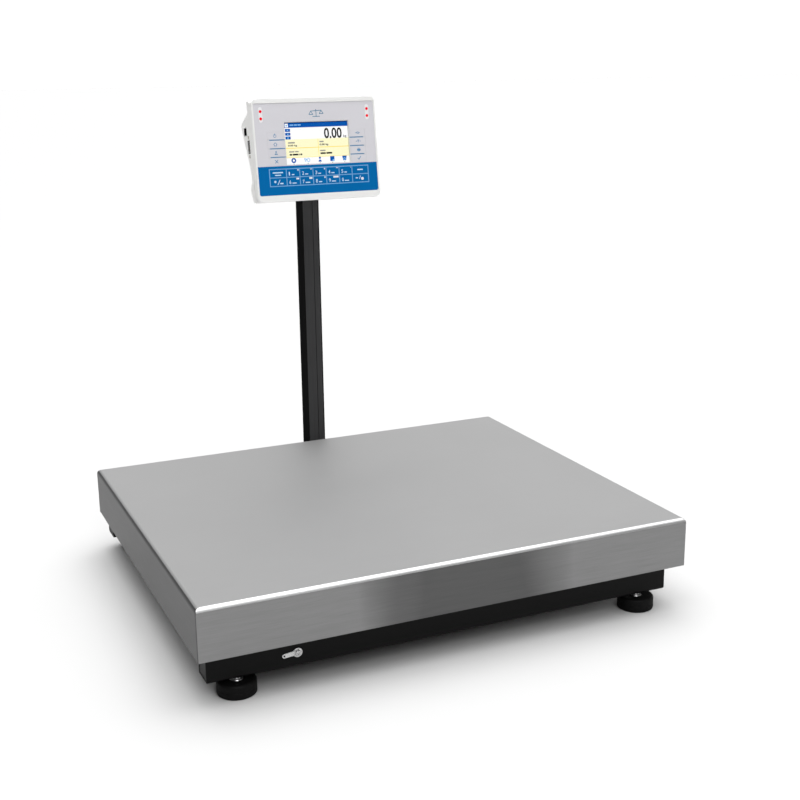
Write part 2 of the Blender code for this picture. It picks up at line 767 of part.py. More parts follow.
def make_shells(face):
    """Front shell with its windows, and the stepped rear shell."""
    half = CASE_WIDTH / 2
    outline = rounded_rectangle((-half, CASE_V[0]), (half, CASE_V[1]), CASE_CORNER)
    front = flat_shape("front_shell", outline, PARTING, BEZEL_PROUD, CASE_PLASTIC, face)
    round_edges(front, CASE_EDGE)
    cavity = flat_shape(
        "front_cavity",
        inset_outline(outline, CASE_WALL),
        PARTING - GAP,
        -OVERLAY_SHEET - GAP - CASE_WALL,
        None,
        face,
    )
    u, v = OVERLAY_SIZE[0] / 2 + GAP, OVERLAY_SIZE[1] / 2 + GAP
    recess_outline = rounded_rectangle((-u, -v), (u, v), OVERLAY_CORNER)
    recess = flat_shape(
        "overlay_recess", recess_outline, -OVERLAY_SHEET - GAP, BEZEL_PROUD + GAP, None, face
    )
    cut(front, cavity, recess)
    for name, centre, size in window_list():
        cut(front, window(name + "_opening", centre, size, CASE_WALL * 2, face))

    rear_outline = list(reversed(SHELL_SIDE))
    rear = flat_shape("rear_shell", rear_outline, -half, half, CASE_PLASTIC, face, SIDE_VIEW)
    round_edges(rear, CASE_EDGE)
    rear_limit = flat_shape("rear_limit", outline, -0.060, 0.0, None, face)
    boolean(rear, rear_limit, "INTERSECT")
    inner = inset_outline(rear_outline, CASE_WALL)
    inner[0] = (inner[0][0], PARTING + GAP)
    inner[-1] = (inner[-1][0], PARTING + GAP)
    wall = half - CASE_WALL
    cut(rear, flat_shape("rear_cavity", inner, -wall, wall, None, face, SIDE_VIEW))
    for name, v, w, size in (
        ("usb_opening", USB_V, USB_W, USB_SIZE),
        ("serial_opening", SERIAL_V, SERIAL_W, SERIAL_SHELL),
    ):
        low = (-half - GAP, v - size[0] / 2 - GAP, w - size[1] / 2 - GAP)
        high = (-wall + GAP, v + size[0] / 2 + GAP, w + size[1] / 2 + GAP)
        cut(rear, box(name, low, high, None, face))


def window_list():
    """Openings in the front shell behind the display, the keypad and the two rows of side keys."""
    keypad_width = 2 * KEY_COLUMN_WIDE + 5 * KEY_COLUMN
    side_height = 4 * SIDE_KEY_ROW
    left = SIDE_KEY_CENTRE_U - SIDE_KEY_U
    right = SIDE_KEY_CENTRE_U + SIDE_KEY_U
    side_v = SIDE_KEY_TOP - side_height / 2
    ledge = 0.0014
    return (
        ("display", LCD_CENTRE, (LCD_SIZE[0] - ledge, LCD_SIZE[1] - ledge)),
        ("keypad", (KEYPAD_CENTRE_U, KEYPAD_TOP - KEY_ROW), (keypad_width, 2 * KEY_ROW)),
        ("left_keys", (left, side_v), (SIDE_KEY_WIDTH, side_height)),
        ("right_keys", (right, side_v), (SIDE_KEY_WIDTH, side_height)),
    )


def window(name, centre, size, depth, face):
    """Cutter for a rectangular opening through the face."""
    low = (centre[0] - size[0] / 2, centre[1] - size[1] / 2, -depth)
    high = (centre[0] + size[0] / 2, centre[1] + size[1] / 2, depth)
    return box(name, low, high, None, face)


def key_list():
    """Every key: name, centre, cell size and colour."""
    keys = []
    widths = [KEY_COLUMN_WIDE] + [KEY_COLUMN] * 5 + [KEY_COLUMN_WIDE]
    left = KEYPAD_CENTRE_U - sum(widths) / 2
    rows = (
        ("mode", "1", "2", "3", "4", "5", "clear"),
        ("shift", "6", "7", "8", "9", "0", "enter"),
    )
    for row, names in enumerate(rows):
        v = KEYPAD_TOP - KEY_ROW * (row + 0.5)
        edge = left
        for name, width in zip(names, widths):
            keys.append(("key_" + name, (edge + width / 2, v), (width, KEY_ROW), KEY_BLUE))
            edge += width
    columns = (
        (-SIDE_KEY_U, ("power", "home", "user", "cancel")),
        (SIDE_KEY_U, ("zero", "tare", "print", "confirm")),
    )
    for offset, names in columns:
        for row, name in enumerate(names):
            centre = (SIDE_KEY_CENTRE_U + offset, SIDE_KEY_TOP - SIDE_KEY_ROW * (row + 0.5))
            keys.append(("key_" + name, centre, (SIDE_KEY_WIDTH, SIDE_KEY_ROW), OVERLAY_FILM))
    return keys


def make_overlay_and_keys(face):
    """Front foil with a window for each key, the display and the two sensors; and the keys."""
    u, v = OVERLAY_SIZE[0] / 2, OVERLAY_SIZE[1] / 2
    outline = rounded_rectangle((-u, -v), (u, v), OVERLAY_CORNER)
    overlay = flat_shape("keypad_overlay", outline, -OVERLAY_SHEET, 0.0, OVERLAY_FILM, face)
    for name, centre, cell, look in key_list():
        hole = (cell[0] - KEY_RIB, cell[1] - KEY_RIB)
        cut(overlay, window(name + "_window", centre, hole, OVERLAY_SHEET * 2, face))
        size = (hole[0] - 2 * GAP, hole[1] - 2 * GAP)
        low = (centre[0] - size[0] / 2, centre[1] - size[1] / 2, -KEY_THICKNESS)
        high = (centre[0] + size[0] / 2, centre[1] + size[1] / 2, 0.0)
        box(name, low, high, look, face)
    hole = (LCD_SIZE[0] + 2 * GAP, LCD_SIZE[1] + 2 * GAP)
    cut(overlay, window("display_window", LCD_CENTRE, hole, OVERLAY_SHEET * 2, face))
    for side, sign in (("left", -1), ("right", 1)):
        centre = (sign * SENSOR_U, SENSOR_V)
        name = side + "_sensor_window"
        for suffix, grow, near, look in (("", 0.0, 0.0, SENSOR_LENS), ("_hole", GAP, GAP, None)):
            du, dv = SENSOR_SIZE[0] / 2 + grow, SENSOR_SIZE[1] / 2 + grow
            pill = rounded_rectangle(
                (centre[0] - du, centre[1] - dv), (centre[0] + du, centre[1] + dv), du * 0.98
            )
            shape = flat_shape(name + suffix, pill, -OVERLAY_SHEET - near, near, look, face)
            if look is None:
                cut(overlay, shape)


def make_terminal_inside(face):
    """Display window, display module, main board and the two sockets in the left wall."""
    u, v = LCD_CENTRE
    half_u, half_v = LCD_SIZE[0] / 2, LCD_SIZE[1] / 2
    low = (u - half_u, v - half_v, -OVERLAY_SHEET)
    box("lcd_window", low, (u + half_u, v + half_v, 0.0), DISPLAY_GLASS, face)
    behind_wall = -OVERLAY_SHEET - GAP - CASE_WALL - GAP
    rim = 0.002
    low = (u - half_u - rim, v - half_v - rim, behind_wall - 0.005)
    box("lcd_module", low, (u + half_u + rim, v + half_v + rim, behind_wall), DISPLAY_GLASS, face)
    box("main_board", (-0.080, -0.058, -0.0112), (0.080, 0.052, -0.0096), BOARD_GREEN, face)

    outside = -CASE_WIDTH / 2
    half_v, half_w = USB_SIZE[0] / 2, USB_SIZE[1] / 2
    low = (outside, USB_V - half_v, USB_W - half_w)
    high = (outside + 0.016, USB_V + half_v, USB_W + half_w)
    usb = box("usb_port", low, high, PLAIN_STEEL, face)
    half_v, half_w = USB_SOCKET[0] / 2, USB_SOCKET[1] / 2
    low = (outside - GAP, USB_V - half_v, USB_W - half_w)
    high = (outside + 0.012, USB_V + half_v, USB_W + half_w)
    cut(usb, box("usb_socket", low, high, None, face))

    half_v, half_w = SERIAL_SHELL[0] / 2, SERIAL_SHELL[1] / 2
    low = (outside, SERIAL_V - half_v, SERIAL_W - half_w)
    high = (outside + 0.012, SERIAL_V + half_v, SERIAL_W + half_w)
    serial = box("serial_port", low, high, PLAIN_STEEL, face)
    half_v, half_w = SERIAL_FLANGE[0] / 2, SERIAL_FLANGE[1] / 2
    inner_face = outside + CASE_WALL + GAP
    low = (inner_face, SERIAL_V - half_v, SERIAL_W - half_w)
    high = (inner_face + 0.001, SERIAL_V + half_v, SERIAL_W + half_w)
    join(serial, box("serial_flange", low, high, None, face))


def slope_point(fraction, offset):
    """A point on the rear shell's sloping back, moved out from it by offset."""
    along = SLOPE_LOWER - SLOPE_UPPER
    outward = Vector((along.y, -along.x)).normalized()
    if outward.y > 0:
        outward = -outward
    return tuple(SLOPE_UPPER + along * fraction + outward * offset)


def strip_outline(start, end, near, far):
    """Side outline of a plate over the rear shell's slope, between two fractions of the slope."""
    return [
        slope_point(start, near),
        slope_point(end, near),
        slope_point(end, far),
        slope_point(start, far),
    ]


def make_tilt_joint(face, axis):
    """Bracket on the terminal's back with two ears, and the clamping knob through them."""
    plate = strip_outline(0.12, 0.50, GAP, GAP + 0.0030)
    bracket = flat_shape("terminal_bracket", plate, -0.030, 0.030, BLACK_PAINT, face, SIDE_VIEW)
    tongue = strip_outline(0.48, 0.97, GAP + 0.0002, GAP + 0.0034)
    join(bracket, flat_shape("bracket_tongue", tongue, -0.012, 0.012, None, face, SIDE_VIEW))
    pivot = face_point(COLUMN_Y, TILT_Z)
    ear = [slope_point(0.50, 0.001)]
    ear += arc(pivot, HEAD_LUG_RADIUS, 40, -140, 12)
    ear += [slope_point(0.95, 0.001)]
    near = HEAD_LUG_HALF + GAP
    for sign in (-1, 1):
        sides = sorted((sign * near, sign * (near + EAR_PLATE)))
        join(bracket, flat_shape("bracket_ear", ear, sides[0], sides[1], None, face, SIDE_VIEW))
    start = (-0.020, pivot.x, pivot.y)
    cut(bracket, cylinder("ear_bore", "X", TILT_STUD_RADIUS + RUN_GAP, start, 0.040, None, face))

    washer_face = near + EAR_PLATE + GAP
    stud_end = -(near + EAR_PLATE)
    profile = (
        (0.0, KNOB_START + KNOB_LENGTH),
        (KNOB_RADIUS - 0.002, KNOB_START + KNOB_LENGTH),
        (KNOB_RADIUS, KNOB_START + KNOB_LENGTH - 0.002),
        (KNOB_RADIUS, KNOB_START + 0.003),
        (KNOB_RADIUS - 0.003, KNOB_START),
        (HEAD_LUG_HALF, KNOB_START),
        (HEAD_LUG_HALF, washer_face),
        (TILT_STUD_RADIUS, washer_face),
        (TILT_STUD_RADIUS, stud_end),
        (0.0, stud_end),
    )
    turned("tilt_knob", profile, BLACK_RUBBER, axis, (0.0, 0.0, 0.0), (0.0, math.radians(90), 0.0), 24)


def shade_round_pieces():
    """Smooth shading, with edges kept sharp where faces turn by more than 35 degrees."""
    for obj in PARTS.objects:
        if obj.type == "MESH":
            obj.data.shade_smooth()
            obj.data.set_sharp_from_angle(angle=math.radians(35))


def main():
    """Build every piece of the scale."""
    platform = empty("platform_centre", (0.0, PLATFORM_Y, 0.0))
    tilt_axis = empty("tilt_axis", (COLUMN_X, COLUMN_Y, TILT_Z), platform)
    face_offset = (0.0, FACE_Y - COLUMN_Y, FACE_Z - TILT_Z)
    face = empty("terminal_face", face_offset, tilt_axis, (math.radians(90) - FACE_LEAN, 0.0, 0.0))
    make_pan(platform)
    make_base(platform)
    make_feet(platform)
    make_load_cell(platform)
    make_bolts(platform)
    make_upper_frame(platform)
    make_bumpers(platform)
    make_earth_terminal(platform)
    make_spirit_level(platform)
    make_column(platform)
    make_cable(platform)
    make_shells(face)
    make_overlay_and_keys(face)
    make_terminal_inside(face)
    make_tilt_joint(face, tilt_axis)
    shade_round_pieces()


main()
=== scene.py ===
"""Finished pieces, materials, light and camera for a bench scale with a tilting terminal."""

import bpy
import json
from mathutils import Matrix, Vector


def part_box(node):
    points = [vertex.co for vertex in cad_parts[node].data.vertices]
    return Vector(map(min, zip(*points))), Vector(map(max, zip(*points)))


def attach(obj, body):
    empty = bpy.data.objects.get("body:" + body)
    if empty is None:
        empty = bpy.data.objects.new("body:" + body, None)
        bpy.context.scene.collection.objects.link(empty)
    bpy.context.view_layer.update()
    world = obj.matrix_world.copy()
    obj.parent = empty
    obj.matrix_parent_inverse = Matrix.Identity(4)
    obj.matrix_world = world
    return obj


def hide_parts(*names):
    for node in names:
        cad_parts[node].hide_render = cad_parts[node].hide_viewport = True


bl_info = {
    "name": "Bench scale",
    "version": (1, 0, 0),
    "blender": (4, 5, 0),
    "location": "3D View > Sidebar > Bench scale",
    "description": "Makes the finished pieces of a bench scale around its CAD frame, and a studio",
    "category": "Object",
}

import json
import math

import bmesh
import bpy
from bpy.props import FloatProperty, FloatVectorProperty, IntProperty, PointerProperty
from mathutils import Matrix, Vector

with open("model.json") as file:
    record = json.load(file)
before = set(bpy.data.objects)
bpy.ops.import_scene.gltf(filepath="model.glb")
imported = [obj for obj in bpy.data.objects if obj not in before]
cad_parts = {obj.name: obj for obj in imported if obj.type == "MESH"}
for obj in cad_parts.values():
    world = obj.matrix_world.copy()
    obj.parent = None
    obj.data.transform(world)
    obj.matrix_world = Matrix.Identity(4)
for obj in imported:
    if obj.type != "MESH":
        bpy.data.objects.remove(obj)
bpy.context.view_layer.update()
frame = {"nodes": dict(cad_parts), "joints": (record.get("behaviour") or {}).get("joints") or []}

MM = 0.001

# ---------------------------------------------------------------- terminal face

TILT_AXIS = next(joint for joint in frame["joints"] if joint["name"] == "terminal_tilt")
KEY_TRAVEL = next(joint for joint in frame["joints"] if joint["name"] == "key_1_press")


def face_placement():
    """The terminal face: u to the right, v up the face, w out of it, from the overlay's centre."""
    right = Vector((1.0, 0.0, 0.0))
    out = -Vector(KEY_TRAVEL["axis"]).normalized()
    up = out.cross(right)
    places = [vert.co for vert in frame["nodes"]["keypad_overlay"].data.vertices]
    centre = Vector()
    for axis in (right, up):
        along = [place.dot(axis) for place in places]
        centre += axis * (min(along) + max(along)) / 2
    centre += out * max(place.dot(out) for place in places)
    turn = Matrix((right, up, out)).transposed().to_4x4()
    return Matrix.Translation(centre) @ turn


FACE = face_placement()
TO_FACE = FACE.inverted()


def face_box(node):
    """Lowest and highest corner of a CAD node in the face's own u, v and w."""
    places = [TO_FACE @ vert.co for vert in frame["nodes"][node].data.vertices]
    low = Vector([min(place[axis] for place in places) for axis in range(3)])
    high = Vector([max(place[axis] for place in places) for axis in range(3)])
    return low, high


# ---------------------------------------------------------------- settings

def colour_property(name, description, default):
    """A colour that a user may change."""
    return FloatVectorProperty(
        name=name, description=description, default=default, subtype="COLOR", size=3, min=0.0, max=1.0
    )


def length_property(name, description, default, least, most):
    """A length that a user may change, from millimetres."""
    return FloatProperty(
        name=name, description=description, default=default * MM, min=least * MM, max=most * MM,
        unit="LENGTH",
    )


class ScaleColours(bpy.types.PropertyGroup):
    """Colours of the bench scale's finishes."""

    steel: colour_property("Steel", "Brushed stainless sheet of the pan", (0.285, 0.285, 0.2855))
    paint: colour_property("Paint", "Black powder coat of the base", (0.0045, 0.0045, 0.0045))
    profile: colour_property("Profile", "Black anodised column", (0.056, 0.056, 0.057))
    rubber: colour_property("Rubber", "Feet and bumpers", (0.0035, 0.0035, 0.0035))
    case: colour_property("Case", "Light grey moulded terminal case", (0.85, 0.85, 0.836))
    film: colour_property("Film", "Grey print of the front film", (0.66, 0.65, 0.685))
    band: colour_property("Band", "Blue print of the keypad band", (0.0, 0.132, 0.385))
    print_light: colour_property("Light print", "Key borders on the blue band", (0.16, 0.37, 0.66))
    print_white: colour_property("White print", "Digits on the blue keys", (0.55, 0.72, 0.88))
    print_blue: colour_property("Blue print", "Signs on the grey keys", (0.11, 0.27, 0.46))
    zinc: colour_property("Zinc", "Bright plated small parts", (0.60, 0.60, 0.60))
    indicator: colour_property("Indicator", "Red marks of the sensor windows", (0.92, 0.0, 0.012))


class ScaleSizes(bpy.types.PropertyGroup):
    """Sizes of the finishing details."""

    pan_bend: length_property("Pan bend", "Outer radius of the pan's folded edge", 5.6, 1.0, 12.0)
    pan_corner: length_property("Pan corner", "Radius of the pan's ground corner weld", 1.3, 0.3, 5.0)
    pan_sheet: length_property("Pan sheet", "Thickness of the pan's sheet", 1.5, 0.8, 3.0)
    tube_edge: length_property("Tube edge", "Edge radius of the base's cross tubes", 2.5, 0.5, 5.0)
    thread_pitch: length_property("Thread pitch", "Pitch of the levelling studs' thread", 1.5, 0.8, 3.0)
    case_edge: length_property("Case edge", "Edge radius of the terminal's shells", 1.8, 0.5, 4.0)
    case_corner: length_property(
        "Case corner", "Corner radius of the terminal, seen from the front", 7.0, 2.0, 15.0
    )
    print_height: length_property(
        "Print height", "Thickness of printed signs and digits", 0.05, 0.01, 0.3
    )
    knob_lobes: IntProperty(
        name="Knob lobes", description="Grip lobes round the tilt knob", default=7, min=3, max=16
    )


# ---------------------------------------------------------------- finishes

FINISHES = {}
NOISE_SPAN = (0.3, 0.7)
WHOLE_SPAN = (0.0, 1.0)
EVEN = (1.0, 1.0, 1.0)
CLOUD_SCALE = 9.0


def node_tree(name):
    """A new material with its nodes and shader, and the object's own coordinates."""
    made = bpy.data.materials.new("finish_" + name)
    FINISHES[name] = made
    made.use_nodes = True
    tree = made.node_tree
    shader = tree.nodes["Principled BSDF"]
    coordinates = tree.nodes.new("ShaderNodeTexCoord").outputs["Object"]
    return made, tree, shader, coordinates


def stretched_noise(tree, coordinates, scale, stretch=EVEN, detail=3.0):
    """The value of a noise whose grain may run along one axis."""
    mapping = tree.nodes.new("ShaderNodeMapping")
    mapping.inputs["Scale"].default_value = stretch
    tree.links.new(coordinates, mapping.inputs["Vector"])
    noise = tree.nodes.new("ShaderNodeTexNoise")
    noise.inputs["Scale"].default_value = scale
    noise.inputs["Detail"].default_value = detail
    tree.links.new(mapping.outputs["Vector"], noise.inputs["Vector"])
    return noise.outputs["Fac"]


def remap(tree, value, low, high, source=NOISE_SPAN):
    """A value moved from the noise's usual span to another span."""
    node = tree.nodes.new("ShaderNodeMapRange")
    node.inputs["From Min"].default_value = source[0]
    node.inputs["From Max"].default_value = source[1]
    node.inputs["To Min"].default_value = low
    node.inputs["To Max"].default_value = high
    tree.links.new(value, node.inputs["Value"])
    return node.outputs["Result"]


def arithmetic(tree, operation, first, second):
    """One maths node on two values."""
    node = tree.nodes.new("ShaderNodeMath")
    node.operation = operation
    for socket, value in zip(node.inputs, (first, second)):
        if isinstance(value, (int, float)):
            socket.default_value = value
        else:
            tree.links.new(value, socket)
    return node.outputs["Value"]


def shaded(tree, value, colour, spread):
    """A colour that goes a little darker and lighter with a value from 0 to 1."""
    node = tree.nodes.new("ShaderNodeMix")
    node.data_type = "RGBA"
    for socket, change in (("A", -spread), ("B", spread)):
        shade = [min(1.0, max(0.0, part * (1.0 + change))) for part in colour]
        node.inputs[socket].default_value = (*shade, 1.0)
    tree.links.new(value, node.inputs["Factor"])
    return node.outputs["Result"]


def raised(tree, shader, value, strength, depth):
    """Relief on a shader from a height value."""
    bump = tree.nodes.new("ShaderNodeBump")
    bump.inputs["Strength"].default_value = strength
    bump.inputs["Distance"].default_value = depth
    tree.links.new(value, bump.inputs["Height"])
    tree.links.new(bump.outputs["Normal"], shader.inputs["Normal"])


def moulded(
    name, colour, roughness, metallic=0.0, grain=900.0, stretch=EVEN, spread=0.06,
    rough_spread=0.05, relief=0.25, depth=0.05 * MM, **sockets,
):
    """A finish with fine grain, a faint cloud of shade, and relief from the same grain."""
    if name in FINISHES:
        return FINISHES[name]
    made, tree, shader, coordinates = node_tree(name)
    fine = stretched_noise(tree, coordinates, grain, stretch)
    broad = stretched_noise(tree, coordinates, CLOUD_SCALE, EVEN, 2.0)
    blend = arithmetic(tree, "ADD", remap(tree, fine, 0.0, 0.5), remap(tree, broad, 0.0, 0.5))
    tree.links.new(shaded(tree, blend, colour, spread), shader.inputs["Base Color"])
    low, high = roughness - rough_spread, roughness + rough_spread
    tree.links.new(remap(tree, blend, low, high, WHOLE_SPAN), shader.inputs["Roughness"])
    shader.inputs["Metallic"].default_value = metallic
    for socket, value in sockets.items():
        shader.inputs[socket.replace("_", " ")].default_value = value
    raised(tree, shader, fine, relief, depth)
    return made


# Scale, stretch along the brushing and detail of the fine lines and of the longer, faint bands.
FINE_LINES = (2200.0, 0.012, 4.0)
FAINT_BANDS = (260.0, 0.06, 3.0)


def brushing(tree, coordinates, along, kind):
    """The value of lines brushed along one axis."""
    scale, run, detail = kind
    stretch = [run if axis == along else 1.0 for axis in range(3)]
    return stretched_noise(tree, coordinates, scale, stretch, detail)


def brushed_sheet(name, colour, along, spread, roughness, painted_dark_reflection=None):
    """Stainless sheet brushed along one axis: fine lines, longer faint bands, and a slow cloud. A painted
    dark reflection band, where one is asked for, is given by its middle, half width and lightness."""
    if name in FINISHES:
        return FINISHES[name]
    made, tree, shader, coordinates = node_tree(name)
    fine = brushing(tree, coordinates, along, FINE_LINES)
    bands = brushing(tree, coordinates, along, FAINT_BANDS)
    cloud = stretched_noise(tree, coordinates, 7.0, (1.0, 1.0, 0.35), 2.0)
    lines = arithmetic(tree, "ADD", remap(tree, fine, 0.0, 0.55), remap(tree, bands, 0.0, 0.25))
    shade = arithmetic(tree, "ADD", lines, remap(tree, cloud, 0.0, 0.20))
    tone = shaded(tree, shade, colour, spread)
    # Painted reflection: a soft band, darker towards its middle along X, stands for a dark reflection on
    # the sheet.
    if painted_dark_reflection is not None:
        middle, half, lightness = painted_dark_reflection
        parts = tree.nodes.new("ShaderNodeSeparateXYZ")
        tree.links.new(coordinates, parts.inputs["Vector"])
        offset = arithmetic(tree, "SUBTRACT", parts.outputs["X"], middle)
        distance = arithmetic(tree, "ABSOLUTE", offset, 0.0)
        uneven = arithmetic(tree, "ADD", distance, remap(tree, cloud, -0.3 * half, 0.3 * half))
        fade = remap(tree, uneven, lightness, 1.0, (0.55 * half, 1.25 * half))
        toned = tree.nodes.new("ShaderNodeVectorMath")
        toned.operation = "SCALE"
        tree.links.new(tone, toned.inputs["Vector"])
        tree.links.new(fade, toned.inputs["Scale"])
        tone = toned.outputs["Vector"]
    tree.links.new(tone, shader.inputs["Base Color"])
    gloss = remap(tree, shade, roughness - 0.06, roughness + 0.06, WHOLE_SPAN)
    tree.links.new(gloss, shader.inputs["Roughness"])
    shader.inputs["Metallic"].default_value = 1.0
    raised(tree, shader, lines, 0.12, 0.02 * MM)
    return made


def lit(name, colour, strength):
    """A colour of the lit display, with the fine raster of its cells."""
    if name in FINISHES:
        return FINISHES[name]
    made, tree, shader, coordinates = node_tree(name)
    raster = stretched_noise(tree, coordinates, 1800.0, EVEN, 1.0)
    dark = [part * 0.25 for part in colour]
    tree.links.new(shaded(tree, raster, dark, 0.04), shader.inputs["Base Color"])
    tree.links.new(remap(tree, raster, 0.42, 0.50), shader.inputs["Roughness"])
    shader.inputs["Specular IOR Level"].default_value = 0.05
    shader.inputs["Emission Color"].default_value = (*colour, 1.0)
    shader.inputs["Emission Strength"].default_value = strength
    return made


def colours():
    """The user's colours."""
    return bpy.context.scene.scale_colours


def sizes():
    """The user's sizes."""
    return bpy.context.scene.scale_sizes


# Slots of the pan's faces; the side, front and bend slots hold painted shade and a painted highlight on
# the same steel.
PAN_TOP, PAN_SIDE, PAN_FRONT, PAN_BEND = range(4)


def steel_finishes():
    """Brushed steel for the pan's top, sides, front and rear, and bend, in that order. The sides carry
    painted shade, the front and rear a little painted shade and a painted dark reflection band, and the
    bend a painted highlight.
    """
    colour = colours().steel
    # Painted light: the sides are painted darker as painted shade, the front and rear a little darker,
    # and the bend lighter as a painted highlight.
    side, front, bend = ([part * lightness for part in colour] for lightness in (0.36, 0.93, 1.9))
    return [
        brushed_sheet("steel_brushed_top", tuple(colour), 0, 0.07, 0.60),
        brushed_sheet("steel_side_painted_shade", side, 1, 0.13, 0.48),
        # The front and rear carry a painted dark reflection band round X = 0.02 m.
        brushed_sheet("steel_front_painted_shade_and_reflection", front, 0, 0.16, 0.48, (0.02, 0.10, 0.46)),
        brushed_sheet("steel_bend_painted_highlight", bend, 0, 0.07, 0.45),
    ]


def paint_finish():
    """Satin black powder coat of the base."""
    return moulded("black_powder_coat", tuple(colours().paint), 0.42, grain=520.0, spread=0.25,
                   relief=0.35, depth=0.08 * MM, Specular_IOR_Level=0.10)


def profile_finishes():
    """Black anodising of the column: its front and rear, then its sides, painted darker as painted shade.
    """
    front = tuple(colours().profile)
    # Painted shade: the sides are the same anodising painted much darker.
    side = [part * 0.17 for part in front]
    return [
        moulded(name, colour, 0.34, grain=1400.0, stretch=(1.0, 1.0, 0.01), spread=0.20, relief=0.18,
                depth=0.02 * MM, Specular_IOR_Level=gloss)
        for name, colour, gloss in (("anodised_face", front, 0.01), ("anodised_side_painted_shade", side, 0.0))
    ]


def rubber_and_painted_shade_finish():
    """Black rubber of the feet, also used as painted shade in the port openings and the vent slots."""
    return moulded("black_rubber", tuple(colours().rubber), 0.62, grain=700.0, spread=0.30,
                   relief=0.5, depth=0.12 * MM, Specular_IOR_Level=0.12)


def case_finish():
    """Light grey plastic of the terminal's shells."""
    return moulded("case_plastic", tuple(colours().case), 0.46, grain=1500.0, spread=0.02,
                   relief=0.22, depth=0.05 * MM)


def film_finish(name, colour, spread=0.02):
    """Printed film in one of its colours."""
    return moulded(name, tuple(colour), 0.40, grain=2400.0, spread=spread, relief=0.12, depth=0.02 * MM,
                   Specular_IOR_Level=0.06)


def zinc_finish():
    """Bright zinc plate of screws, studs and sockets."""
    return moulded("zinc_plate", tuple(colours().zinc), 0.28, metallic=1.0, grain=900.0, spread=0.10,
                   rough_spread=0.08, relief=0.15, depth=0.03 * MM)


def aluminium_finish():
    """Milled aluminium of the load cell."""
    return moulded("milled_aluminium", (0.70, 0.70, 0.71), 0.34, metallic=1.0, grain=700.0,
                   stretch=(1.0, 0.03, 1.0), spread=0.08, relief=0.2, depth=0.03 * MM)


def black_plastic_finish():
    """Black plastic of the knob, the level's cup and the cable's jacket."""
    return moulded("black_plastic", (0.02, 0.02, 0.021), 0.48, grain=1100.0, spread=0.20,
                   relief=0.35, depth=0.06 * MM)


def brass_finish():
    """Nickelled brass of contacts."""
    return moulded("nickelled_brass", (0.62, 0.55, 0.40), 0.30, metallic=1.0, grain=900.0, spread=0.10)


def board_finish():
    """Green circuit board."""
    return moulded("green_board", (0.02, 0.16, 0.06), 0.45, grain=500.0, spread=0.3)


# ---------------------------------------------------------------- mesh making

def of_kind(made, kind):
    """The vertices, edges or faces among the elements that an operator made."""
    return [item for item in made["geom"] if isinstance(item, kind)]


def extruded(bm, depth):
    """Give the flat faces of a bmesh thickness along w, closed on all sides."""
    made = bmesh.ops.extrude_face_region(bm, geom=bm.faces[:])
    bmesh.ops.translate(bm, vec=(0.0, 0.0, depth), verts=of_kind(made, bmesh.types.BMVert))
    bmesh.ops.recalc_face_normals(bm, faces=bm.faces)
    return bm


def sunk(bm, faces, move):
    """Move faces inwards with new walls round them, and give back the moved vertices."""
    made = bmesh.ops.extrude_face_region(bm, geom=faces)
    verts = of_kind(made, bmesh.types.BMVert)
    bmesh.ops.translate(bm, vec=move, verts=verts)
    bmesh.ops.delete(bm, geom=[face for face in faces if face.is_valid], context="FACES_ONLY")
    return verts


def rounded(bm, edges, radius, segments):
    """Round some edges of a bmesh."""
    bmesh.ops.bevel(
        bm, geom=list(edges), offset=radius, offset_type="OFFSET", segments=segments,
        profile=0.5, affect="EDGES", material=-1, clamp_overlap=True,
    )
    return bm


def block(low, high, radius=0.0, segments=3, chosen=None):
    """A box between two corners, with all or the chosen edges rounded."""
    low, high = Vector(low), Vector(high)
    bm = bmesh.new()
    bmesh.ops.create_cube(bm, size=1.0)
    bmesh.ops.scale(bm, vec=high - low, verts=bm.verts)
    bmesh.ops.translate(bm, vec=(low + high) / 2, verts=bm.verts)
    if radius:
        edges = [edge for edge in bm.edges if chosen is None or chosen(edge)]
        rounded(bm, edges, radius, segments)
    return bm


def runs_along(axis):
    """A test for edges that run along one axis."""
    def test(edge):
        run = (edge.verts[1].co - edge.verts[0].co).normalized()
        return abs(run[axis]) > 0.99
    return test


def sheet(low, high, corner=0.0, segments=4):
    """A flat rectangle in u and v with round corners."""
    bm = bmesh.new()
    bmesh.ops.create_grid(bm, x_segments=1, y_segments=1, size=0.5)
    bmesh.ops.scale(bm, vec=(high[0] - low[0], high[1] - low[1], 1.0), verts=bm.verts)
    middle = ((low[0] + high[0]) / 2, (low[1] + high[1]) / 2, 0.0)
    bmesh.ops.translate(bm, vec=middle, verts=bm.verts)
    if corner:
        bmesh.ops.bevel(
            bm, geom=bm.verts[:], offset=corner, offset_type="OFFSET", segments=segments,
            profile=0.5, affect="VERTICES", material=-1, clamp_overlap=True,
        )
    return bm


def split(bm, axis, value, faces=None):
    """Cut a bmesh, or some of its faces, along one value of an axis."""
    normal = Vector((0.0, 0.0, 0.0))
    normal[axis] = 1.0
    if faces is None:
        faces = bm.faces[:]
    edges = {edge for face in faces for edge in face.edges}
    verts = {vert for face in faces for vert in face.verts}
    bmesh.ops.bisect_plane(
        bm, geom=[*faces, *edges, *verts], dist=1e-7, plane_co=normal * value, plane_no=normal
    )


def inside(point, low, high, axes=(0, 1)):
    """Whether a point lies in a rectangle, on two axes."""
    return all(low[index] < point[axis] < high[index] for index, axis in enumerate(axes))


def windowed(bm, windows):
    """Cut rectangular windows, each a low and a high corner, out of a flat sheet."""
    for low, high in windows:
        for axis in (0, 1):
            for corner in (low, high):
                split(bm, axis, corner[axis])
    gone = [
        face for face in bm.faces
        if any(inside(face.calc_center_median(), low, high) for low, high in windows)
    ]
    bmesh.ops.delete(bm, geom=gone, context="FACES")
    return bm


